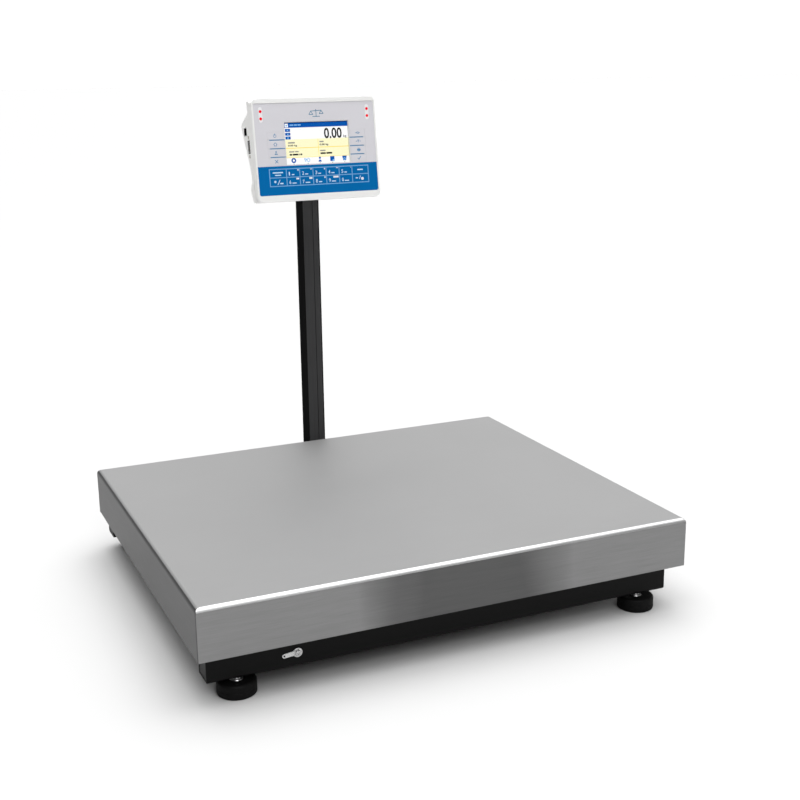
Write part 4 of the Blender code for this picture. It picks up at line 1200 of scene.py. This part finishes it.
class SCALE_OT_ports(bpy.types.Operator):
    """USB socket and nine-way serial connector in the left wall"""

    bl_idname = "bench_scale.ports"
    bl_label = "Ports"

    def execute(self, context):
        low, high = face_box("usb_port")
        place = FACE @ from_left(low.x)
        outside = (low.yz, high.yz)
        mouth = grown(outside, -0.6 * MM)
        v, w = (low.yz + high.yz) / 2
        bm = sheet(*outside, 0.8 * MM, 3)
        windowed(bm, [mouth])
        extruded(bm, 11.5 * MM)
        bm.normal_update()
        heart = Vector((v, w, 5.75 * MM))
        # The inner walls of the socket's mouth are given black as painted shade.
        for face in bm.faces:
            if abs(face.normal.z) < 0.5 and (face.calc_center_median() - heart).dot(face.normal) < 0.0:
                face.material_index = 1
        add(bm, plate(*mouth, 11.0 * MM, 11.6 * MM), 1)
        across, up = 2.6 * MM, 0.9 * MM
        tongue = plate((v - across, w - up), (v + across, w + up), 1.2 * MM, 11.2 * MM, 0.2 * MM)
        add(bm, tongue, 1)
        side, buried, proud = 0.25 * MM, 0.05 * MM, 0.08 * MM
        for step in range(4):
            row = v + (step - 1.5) * 1.2 * MM
            corners = (row - side, w + up - buried), (row + side, w + up + proud)
            add(bm, plate(*corners, 1.6 * MM, 9.0 * MM), 2)
        piece("usb_socket_shell", bm, [zinc_finish(), rubber_and_painted_shade_finish(), brass_finish()], "terminal",
              ("usb_port",), place, sharp=30.0)

        shell = serial_shell(*face_box("serial_port"))
        v, w = (shell[0].yz + shell[1].yz) / 2
        half_v, half_w = 7.6 * MM, 3.6 * MM
        narrow = half_v - 1.3 * MM
        outer = ((-half_v, -half_w), (-narrow, half_w), (narrow, half_w), (half_v, -half_w))
        shape = flat([(v + across, w + up) for across, up in outer], 0.0, 9.0 * MM)
        rounded(shape, [edge for edge in shape.edges if runs_along(2)(edge)], 1.6 * MM, 3)
        front = [face for face in shape.faces if face.normal.z < -0.99]
        bmesh.ops.inset_region(shape, faces=front, thickness=0.5 * MM, depth=0.0)
        bmesh.ops.inset_region(shape, faces=front, thickness=0.02 * MM, depth=-1.2 * MM)
        bm = add(bmesh.new(), shape)
        insert = flat([(v + across * 0.88, w + up * 0.80) for across, up in outer], 0.9 * MM, 6.0 * MM)
        add(bm, insert, 1)
        for up, count in ((1.2 * MM, 5), (-1.2 * MM, 4)):
            for step in range(count):
                across = (step - (count - 1) / 2) * 2.3 * MM
                add(bm, ring((v + across, w + up), 0.75 * MM, 0.42 * MM, 0.80 * MM, 2.0 * MM, 12), 2)
        for centre in nut_places(shell):
            nut = bmesh.new()
            bmesh.ops.create_circle(nut, cap_ends=True, segments=6, radius=2.5 * MM)
            add(bm, extruded(nut, 5.0 * MM), 3, at(*centre, 0.15 * MM))
        nut_plate = moulded("nut_plate", (0.34, 0.31, 0.25), 0.40, metallic=0.2, grain=900.0, spread=0.10)
        finishes = [zinc_finish(), rubber_and_painted_shade_finish(), brass_finish(), nut_plate]
        piece("serial_connector", bm, finishes, "terminal", ("serial_port",), place)
        return {"FINISHED"}


# ---------------------------------------------------------------- film, keys and display

PRINT_SINK = -0.05 * MM


def grey_film():
    """Grey print of the film and of the keys beside the display."""
    return film_finish("film_grey", colours().film)


def blue_film():
    """Blue print of the keypad band and its keys."""
    return film_finish("film_blue", colours().band, 0.04)


def sign_film():
    """Blue print of the signs on the grey keys."""
    return film_finish("film_sign_blue", colours().print_blue, 0.05)


class SCALE_OT_film(bpy.types.Operator):
    """Printed front film with a window for each key, the display and the sensors"""

    bl_idname = "bench_scale.film"
    bl_label = "Front film"

    def execute(self, context):
        low, high = face_box("keypad_overlay")
        bm = sheet(low, high, 3.0 * MM, 4)
        windows = [
            grown(face_box(node), 0.06 * MM)
            for node in (*ALL_KEYS, "left_sensor_window", "right_sensor_window", "lcd_window")
        ]
        display = windows[-1]
        rib = (face_box("key_2")[0].x - face_box("key_1")[1].x) / 2
        border = grown(windows_of(PAD_ROWS[0] + PAD_ROWS[1]), 2 * rib)
        band_top = face_box("lcd_window")[0].y - 0.9 * MM
        splits = [(1, band_top)] + [(axis, corner[axis]) for axis in (0, 1) for corner in border]
        side_lines = []
        for keys, far_end in (
            (LEFT_KEYS, windows_of(LEFT_KEYS)[0][0] + 2.6 * MM),
            (RIGHT_KEYS, windows_of(RIGHT_KEYS)[1][0] - 2.6 * MM),
        ):
            splits.append((0, far_end))
            near, far = sorted((far_end, 0.0))
            for upper, lower in zip(keys, keys[1:]):
                side_lines.append(((near, face_box(lower)[1].y), (far, face_box(upper)[0].y)))
        for axis, value in splits:
            split(bm, axis, value)
        windowed(bm, windows)
        for face in bm.faces:
            spot = face.calc_center_median()
            if spot.y < band_top:
                face.material_index = 2 if inside(spot, *border) else 1
            elif any(inside(spot, *line) and not inside(spot, *display) for line in side_lines):
                face.material_index = 3
        bmesh.ops.translate(bm, vec=(0.0, 0.0, high.z), verts=bm.verts)
        extruded(bm, low.z - high.z)
        line_print = film_finish("film_line", colours().print_light, 0.05)
        piece("front_film", bm, [grey_film(), blue_film(), line_print, sign_film()], "terminal",
              ("keypad_overlay",), FACE)

        bm = bmesh.new()
        middle_u, middle_v = 1.2, 46.5
        for start, end in (
            ((-6.5, 2.6), (8.5, 3.4)), ((-6.5, 2.6), (-9.0, -1.5)), ((-6.5, 2.6), (-4.0, -1.5)),
            ((8.5, 3.4), (6.0, -0.7)), ((8.5, 3.4), (11.0, -0.7)), ((1.0, 4.6), (1.0, -4.5)),
            ((-4.0, -4.6), (6.0, -4.6)), ((-9.2, -1.9), (-3.8, -1.9)), ((5.8, -1.1), (11.2, -1.1)),
        ):
            points = [((u + middle_u) * MM, (v + middle_v) * MM) for u, v in (start, end)]
            add(bm, bar(*points, 0.8 * MM, PRINT_SINK, sizes().print_height))
        emblem_print = film_finish("emblem_blue", (0.03, 0.19, 0.33))
        piece("balance_emblem", bm, [emblem_print], "terminal", (), FACE, weighted=False)
        return {"FINISHED"}


def strokes(bm, centre, ends, width, near, far):
    """Add printed strokes from pairs of end points, given in millimetres from a centre."""
    for start, end in zip(ends[::2], ends[1::2]):
        points = [(centre[0] + u * MM, centre[1] + v * MM) for u, v in (start, end)]
        add(bm, bar(*points, width * MM, near, far), 1)


def side_sign(bm, name, centre, near, far):
    """The printed sign of a grey key."""
    def spot(u, v):
        return (centre[0] + u * MM, centre[1] + v * MM)

    if name == "key_power":
        add(bm, ring(spot(0.0, -0.3), 2.2 * MM, 1.6 * MM, near, far), 1)
        add(bm, bar(spot(0.0, 0.3), spot(0.0, 2.5), 0.8 * MM, near, far), 1)
    elif name == "key_home":
        strokes(bm, centre, ((-2.4, 0.0), (0.0, 2.2), (0.0, 2.2), (2.4, 0.0), (-1.7, -0.2), (-1.7, -2.0),
                             (1.7, -0.2), (1.7, -2.0), (-1.7, -2.0), (1.7, -2.0)), 0.7, near, far)
    elif name == "key_user":
        add(bm, disc(spot(0.2, 1.4), 1.1 * MM, near, far, 20), 1)
        strokes(bm, centre, ((-1.6, -1.9), (-0.6, -0.7), (0.9, -0.7), (1.9, -1.9), (-1.6, -1.9),
                             (1.9, -1.9)), 0.9, near, far)
    elif name == "key_cancel":
        strokes(bm, centre, ((-1.9, -1.9), (1.9, 1.9), (-1.9, 1.9), (1.9, -1.9)), 0.9, near, far)
    elif name == "key_zero":
        add(bm, ring(spot(0.5, 0.0), 1.5 * MM, 0.8 * MM, near, far), 1)
        strokes(bm, centre, ((-3.2, 0.0), (-1.4, 0.0), (2.4, 0.0), (3.2, 0.0)), 0.7, near, far)
        add(bm, flat([spot(-1.0, 0.0), spot(-2.0, 0.9), spot(-2.0, -0.9)], near, far), 1)
    elif name == "key_tare":
        strokes(bm, centre, ((-0.8, 1.5), (1.6, 1.5), (0.4, 1.5), (0.4, -1.2), (-3.0, 0.0), (-1.6, 0.0),
                             (2.4, 0.0), (3.6, 0.0)), 0.8, near, far)
        add(bm, flat([spot(-1.0, 0.0), spot(-1.9, 0.9), spot(-1.9, -0.9)], near, far), 1)
    elif name == "key_print":
        strokes(bm, centre, ((-1.8, 0.4), (2.2, 0.4), (-1.8, -0.8), (2.2, -0.8)), 1.3, near, far)
        strokes(bm, centre, ((-1.0, 1.8), (1.4, 1.8), (-1.0, -2.0), (1.4, -2.0)), 0.7, near, far)
    elif name == "key_confirm":
        strokes(bm, centre, ((-2.0, -0.2), (-0.5, -1.8), (-0.5, -1.8), (2.2, 2.0)), 1.0, near, far)


# A digit key's bar length, and its corner mark's width and height if it has one, in millimetres.
DIGIT_BARS = {
    "1": 2.4, "2": 3.2, "3": 2.8, "4": 3.4, "5": 2.6, "6": 4.6, "7": 5.2, "8": 3.6, "9": 4.6, "0": 5.0,
}
CORNER_MARKS = {
    "1": (1.6, 1.9), "2": (2.2, 1.0), "3": (1.3, 1.9), "4": (2.6, 0.9), "5": (0.5, 1.4),
    "6": (4.0, 2.2), "7": (4.4, 2.4), "8": (1.5, 2.1), "9": (7.6, 2.4),
}


def pad_sign(bm, name, low, high, near, far):
    """The printed sign of a blue key: a digit with a short bar, or bars alone, in millimetres from
    the key's top left corner."""
    def spot(u, v):
        return (low.x + u * MM, high.y + v * MM)

    def small_bar(u0, u1, v, width=1.3):
        add(bm, bar(spot(u0, v), spot(u1, v), width * MM, near, far), 1)

    digit = name[-1]
    if digit in DIGIT_BARS:
        width = 1.5 if digit == "1" else 2.7
        add(bm, lettering(digit, spot(2.6, -8.4), spot(2.6 + width, -3.6), near, far, 0.012), 1)
        small_bar(7.4, 7.4 + DIGIT_BARS[digit], -7.4)
        if digit in CORNER_MARKS:
            width, height = CORNER_MARKS[digit]
            edge = (high.x - low.x) / MM - 0.9
            mark = plate(spot(edge - width, -0.5 - height), spot(edge, -0.5), near, far, 0.25 * MM)
            add(bm, mark, 2)
    elif name == "key_mode":
        small_bar(4.6, 17.6, -4.0, 1.6)
        small_bar(7.6, 14.8, -7.4, 1.4)
    elif name == "key_clear":
        small_bar(7.8, 14.6, -4.9, 1.6)
    elif name == "key_shift":
        add(bm, disc(spot(6.6, -4.6), 1.6 * MM, near, far, 18), 1)
        add(bm, bar(spot(10.0, -8.6), spot(13.4, -2.4), 0.9 * MM, near, far), 1)
        small_bar(14.2, 17.0, -7.2, 1.8)
    elif name == "key_enter":
        small_bar(4.6, 6.8, -4.8, 1.4)
        add(bm, bar(spot(9.6, -6.0), spot(11.2, -2.2), 0.9 * MM, near, far), 1)
        add(bm, disc(spot(13.9, -5.9), 2.0 * MM, near, far, 24), 2)


class SCALE_OT_keys(bpy.types.Operator):
    """Every key, with its printed sign"""

    bl_idname = "bench_scale.keys"
    bl_label = "Keys"

    def execute(self, context):
        far = sizes().print_height
        light = film_finish("film_white_print", colours().print_white, 0.04)
        white = film_finish("film_bright_print", (0.80, 0.80, 0.84), 0.03)
        for name in ALL_KEYS:
            low, high = face_box(name)

            def on_top(edge):
                return all(vert.co.z > high.z - 0.1 * MM for vert in edge.verts)

            bm = block(low, high, 0.22 * MM, 2, on_top)
            if name in PAD_ROWS[0] + PAD_ROWS[1]:
                pad_sign(bm, name, low, high, PRINT_SINK, far)
                slot, finishes = "key_blue", [blue_film(), light, white]
            else:
                side_sign(bm, name, (low.xy + high.xy) / 2, PRINT_SINK, far)
                slot, finishes = "key_grey", [grey_film(), sign_film()]
            piece("printed_" + name, bm, finishes, name, (name,), FACE)
        return {"FINISHED"}


class SCALE_OT_sensors(bpy.types.Operator):
    """Sensor windows with their red marks"""

    bl_idname = "bench_scale.sensors"
    bl_label = "Sensor windows"

    def execute(self, context):
        lens = moulded("sensor_lens", (0.86, 0.86, 0.88), 0.16, grain=900.0, spread=0.02, relief=0.05,
                       Coat_Weight=0.5)
        red = moulded("sensor_red", tuple(colours().indicator), 0.30, grain=900.0, spread=0.05,
                      relief=0.05, Specular_IOR_Level=0.08)
        for side in ("left", "right"):
            node = side + "_sensor_window"
            low, high = face_box(node)
            middle = (low + high) / 2
            bm = sheet(*grown((low, high), 0.1 * MM))
            bmesh.ops.translate(bm, vec=(0.0, 0.0, -0.02 * MM), verts=bm.verts)
            extruded(bm, -0.45 * MM)
            corner = (high.x - low.x) * 0.4
            pill = plate(*grown((low, high), -0.1 * MM), -0.10 * MM, 0.10 * MM, corner)
            rim = [edge for edge in pill.edges
                   if all(vert.co.z > 0.0 for vert in edge.verts) and edge.calc_face_angle() > 1.0]
            add(bm, rounded(pill, rim, 0.08 * MM, 2), 1)
            for offset in (4.3 * MM, -5.2 * MM):
                add(bm, disc((middle.x, middle.y + offset), 2.05 * MM, 0.0, 0.16 * MM, 24, 1.9 * MM), 2)
            piece(side + "_sensor_lens", bm, [grey_film(), lens, red], "terminal",
                  (node,), FACE)
        return {"FINISHED"}


# The lit picture's middle on the terminal face.
PICTURE_SHIFT = Vector((1.2 * MM, -0.45 * MM))


class SCALE_OT_display(bpy.types.Operator):
    """Display module with its lit picture, and the window over it"""

    bl_idname = "bench_scale.display"
    bl_label = "Display"

    def execute(self, context):
        low, high = face_box("lcd_module")
        front = high.z
        inks = (
            ("white", (1.0, 1.0, 1.0)), ("blue", (0.0, 0.09, 0.42)), ("cream", (1.0, 0.96, 0.62)),
            ("yellow", (1.0, 0.78, 0.16)), ("ink", (0.010, 0.010, 0.012)), ("grey", (0.30, 0.30, 0.27)),
            ("sky", (0.22, 0.50, 0.85)), ("painted_recess_shadow", (0.0, 0.018, 0.10)),
        )
        finishes = [zinc_finish()] + [lit("display_" + name, colour, 0.9) for name, colour in inks]
        steel, white, blue, cream, yellow, ink, grey, sky, painted_recess_shadow = range(len(finishes))
        near, far = front - 0.32 * MM, front - 0.18 * MM
        above = far + 0.03 * MM
        bm = bmesh.new()
        add(bm, block(low, (high.x, high.y, front - 0.3 * MM), 0.3 * MM, 2), steel)

        def spot(u, v):
            return (u * MM + PICTURE_SHIFT.x, v * MM + PICTURE_SHIFT.y)

        def patch(u0, v0, u1, v1, layer, finish, corner=0.0):
            top = front - 0.30 * MM + layer * 0.03 * MM
            add(bm, plate(spot(u0, v0), spot(u1, v1), front - 0.35 * MM, top, corner * MM), finish)

        def words(text, u0, v0, u1, v1, heavy):
            shape = lettering(text, spot(u0, v0), spot(u1, v1), near, front - 0.15 * MM, heavy)
            add(bm, shape, ink)

        def bars(u, v, lengths, half_height, finish):
            for length in lengths:
                patch(u, v - half_height, u + length, v + half_height, 3, finish, 0.5)
                u += length + 0.9

        left, right, bottom, top = -45.8, 46.6, -22.0, 36.4
        patch(left, bottom, right, top, 1, white)
        patch(left, 28.6, right, top, 2, blue)
        # Painted shadow: a dark strip along the picture's top edge stands for the shadow of the window's
        # rim on the recessed picture.
        patch(left, 34.6, right, top, 3, painted_recess_shadow)
        patch(left, -11.2, right, 13.0, 2, cream)
        patch(left, 1.0, right, 2.0, 3, yellow)
        patch(1.9, -11.2, 2.6, 13.0, 3, yellow)
        patch(left, -11.4, right, -10.8, 3, yellow)
        patch(-43.8, 29.2, -39.2, 34.2, 3, white, 0.8)
        patch(-42.6, 30.4, -40.4, 32.6, 4, sky, 0.5)
        for u0, u1 in ((-36.8, -31.4), (-30.6, -26.2), (-25.4, -21.0)):
            patch(u0, 31.2, u1, 32.9, 3, sky, 0.4)
        for v0, v1 in ((23.3, 27.3), (18.3, 22.1), (13.2, 17.2)):
            middle = (v0 + v1) / 2
            patch(-44.0, v0, -36.6, v1, 3, blue, 0.3)
            patch(-41.4, middle - 0.8, -39.2, middle + 0.8, 4, sky, 0.5)
        words("0.00", 11.8, 12.7, 37.6, 27.0, 0.022)
        words("kg", 39.6, 12.9, 44.2, 17.0, 0.01)
        for u, v, length in ((-41.0, 8.6, 9.8), (4.2, 8.8, 6.2)):
            patch(u, v - 0.9, u + length, v + 0.9, 3, grey, 0.6)
            words("0.00 kg", u, 3.2, u + 12.6, 6.2, 0.03)
        bars(-40.2, -3.4, (7.4, 5.2), 0.8, grey)
        bars(4.2, -3.2, (8.0,), 0.8, grey)
        bars(-39.8, -7.2, (3.4, 8.2, 1.0, 2.6), 1.1, ink)
        bars(4.6, -6.8, (7.6, 8.4), 1.1, ink)

        add(bm, ring(spot(-34.6, -15.0), 3.4 * MM, 1.5 * MM, near, far), blue)
        add(bm, ring(spot(-13.4, -15.2), 2.4 * MM, 1.6 * MM, near, far), sky)
        for u, v in ((-18.6, -13.6), (-17.6, -16.2), (-16.4, -14.2)):
            add(bm, plate(spot(u - 0.9, v - 0.9), spot(u + 0.9, v + 0.9), near, far, 0.3 * MM), sky)
        add(bm, disc(spot(3.2, -12.8), 1.5 * MM, near, far, 20), blue)
        add(bm, plate(spot(18.2, -17.9), spot(24.4, -11.4), near, far, 0.4 * MM), blue)
        add(bm, disc(spot(23.0, -16.8), 1.5 * MM, near, above, 20), sky)
        for corners in (
            ((0.9, -18.0), (5.6, -18.0), (4.6, -15.4), (1.9, -15.4)),
            ((36.0, -11.4), (42.6, -11.4), (41.4, -17.6), (37.2, -17.6)),
        ):
            add(bm, flat([spot(u, v) for u, v in corners], near, far), blue)
        add(bm, ring(spot(39.3, -15.4), 1.7 * MM, 0.8 * MM, near, above), sky)
        for u in (-34.6, -14.4, 3.2, 21.4, 39.3):
            add(bm, plate(spot(u - 0.5, -20.6), spot(u + 0.5, -19.0), near, far), grey)
        piece("lit_display", bm, finishes, "terminal", ("lcd_module",), FACE,
              weighted=False)

        glass = moulded("display_glass", (0.02, 0.02, 0.025), 0.06, grain=60.0, spread=0.01,
                        rough_spread=0.02, relief=0.0, Alpha=0.05)
        bm = block(*face_box("lcd_window"), 0.12 * MM, 1)
        piece("display_window", bm, [glass], "terminal", ("lcd_window",), FACE)
        return {"FINISHED"}


# ---------------------------------------------------------------- stage

FLOOR_HALF_SIZE = 30.0
KEY_LIGHT_PLACE, KEY_LIGHT_TARGET = (-0.4, -3.2, 2.3), (0.0, 0.0, 0.3)
KEY_LIGHT_SIZE, KEY_LIGHT_POWER = 1.6, 28.0
CAMERA_PLACE = Vector((-0.5854, -1.43385, 0.6507))
CAMERA_YAW = math.radians(23.92)
CAMERA_DROP = math.radians(15.18)
CAMERA_ROLL = math.radians(-0.69)
CAMERA_LENS = 57.04


def camera_placement():
    """The camera's place and turn, from its yaw, drop and roll."""
    forward = Vector((
        math.sin(CAMERA_YAW) * math.cos(CAMERA_DROP),
        math.cos(CAMERA_YAW) * math.cos(CAMERA_DROP),
        -math.sin(CAMERA_DROP),
    ))
    level = Vector((math.cos(CAMERA_YAW), -math.sin(CAMERA_YAW), 0.0))
    above = level.cross(forward)
    right = level * math.cos(CAMERA_ROLL) + above * math.sin(CAMERA_ROLL)
    up = above * math.cos(CAMERA_ROLL) - level * math.sin(CAMERA_ROLL)
    turn = Matrix((right, up, -forward)).transposed().to_4x4()
    return Matrix.Translation(CAMERA_PLACE) @ turn


def soft_light(name, place, target, size, power):
    """A large square area light aimed at a point."""
    light = bpy.data.lights.new(name, "AREA")
    light.shape = "SQUARE"
    light.size = size
    light.energy = power
    obj = bpy.data.objects.new(name, light)
    bpy.context.scene.collection.objects.link(obj)
    aim = (Vector(target) - Vector(place)).to_track_quat("-Z", "Y").to_matrix().to_4x4()
    obj.matrix_world = Matrix.Translation(place) @ aim


class SCALE_OT_stage(bpy.types.Operator):
    """Pale floor, soft studio light and the camera"""

    bl_idname = "bench_scale.stage"
    bl_label = "Studio"

    def execute(self, context):
        bm = bmesh.new()
        bmesh.ops.create_grid(bm, x_segments=4, y_segments=4, size=FLOOR_HALF_SIZE)
        mesh = bpy.data.meshes.new("floor")
        bm.to_mesh(mesh)
        bm.free()
        paper = moulded("floor_paper", (0.52, 0.52, 0.52), 0.85, grain=40.0, spread=0.006, relief=0.0)
        mesh.materials.append(paper)
        floor = bpy.data.objects.new("floor", mesh)
        bpy.context.scene.collection.objects.link(floor)

        world = bpy.data.worlds.new("studio")
        context.scene.world = world
        world.use_nodes = True
        # The horizon is bright behind and to the right, and the light is brightest straight above.
        tree = world.node_tree
        direction = tree.nodes.new("ShaderNodeTexCoord").outputs["Generated"]
        parts = tree.nodes.new("ShaderNodeSeparateXYZ")
        tree.links.new(direction, parts.inputs["Vector"])
        behind = remap(tree, parts.outputs["Y"], 0.18, 1.12, (-0.6, 0.7))
        sideways = remap(tree, parts.outputs["X"], 0.12, 1.0, (-0.5, 0.10))
        horizon = arithmetic(tree, "MULTIPLY", behind, sideways)
        overhead = remap(tree, parts.outputs["Z"], 0.0, 4.4, (0.68, 0.95))
        background = tree.nodes["Background"]
        background.inputs["Color"].default_value = (1.0, 1.0, 1.0, 1.0)
        tree.links.new(arithmetic(tree, "ADD", horizon, overhead), background.inputs["Strength"])

        soft_light("key_light", KEY_LIGHT_PLACE, KEY_LIGHT_TARGET, KEY_LIGHT_SIZE, KEY_LIGHT_POWER)

        camera = bpy.data.cameras.new("camera")
        camera.sensor_width = 36.0
        camera.lens = CAMERA_LENS
        camera.clip_end = 100.0
        viewer = bpy.data.objects.new("camera", camera)
        bpy.context.scene.collection.objects.link(viewer)
        viewer.matrix_world = camera_placement()
        bpy.context.scene.camera = viewer
        context.scene.view_settings.view_transform = "Standard"
        context.scene.view_settings.look = "None"
        return {"FINISHED"}


# ---------------------------------------------------------------- panel and registration

OPERATORS = (
    SCALE_OT_pan,
    SCALE_OT_tubes,
    SCALE_OT_hidden_structure,
    SCALE_OT_feet,
    SCALE_OT_earth_terminal,
    SCALE_OT_spirit_level,
    SCALE_OT_column,
    SCALE_OT_tilt_knob,
    SCALE_OT_front_shell,
    SCALE_OT_rear_shell,
    SCALE_OT_ports,
    SCALE_OT_film,
    SCALE_OT_keys,
    SCALE_OT_sensors,
    SCALE_OT_display,
    SCALE_OT_stage,
)


class SCALE_PT_panel(bpy.types.Panel):
    """Pieces of the bench scale"""

    bl_idname = "SCALE_PT_panel"
    bl_label = "Bench scale"
    bl_space_type = "VIEW_3D"
    bl_region_type = "UI"
    bl_category = "Bench scale"

    def draw(self, context):
        layout = self.layout
        for operator in OPERATORS:
            layout.operator(operator.bl_idname)
        for group in (context.scene.scale_sizes, context.scene.scale_colours):
            box = layout.box()
            for name in group.__annotations__:
                box.prop(group, name)


CLASSES = (ScaleColours, ScaleSizes, *OPERATORS, SCALE_PT_panel)


def register():
    """Register the classes and the user's settings."""
    for item in CLASSES:
        bpy.utils.register_class(item)
    bpy.types.Scene.scale_colours = PointerProperty(type=ScaleColours)
    bpy.types.Scene.scale_sizes = PointerProperty(type=ScaleSizes)


def unregister():
    """Take the classes and settings away again."""
    del bpy.types.Scene.scale_sizes
    del bpy.types.Scene.scale_colours
    for item in reversed(CLASSES):
        bpy.utils.unregister_class(item)


def main():
    """Make every piece and the studio."""
    register()
    for operator in OPERATORS:
        group, name = operator.bl_idname.split(".")
        getattr(getattr(bpy.ops, group), name)()


if __name__ == "__main__":
    main()
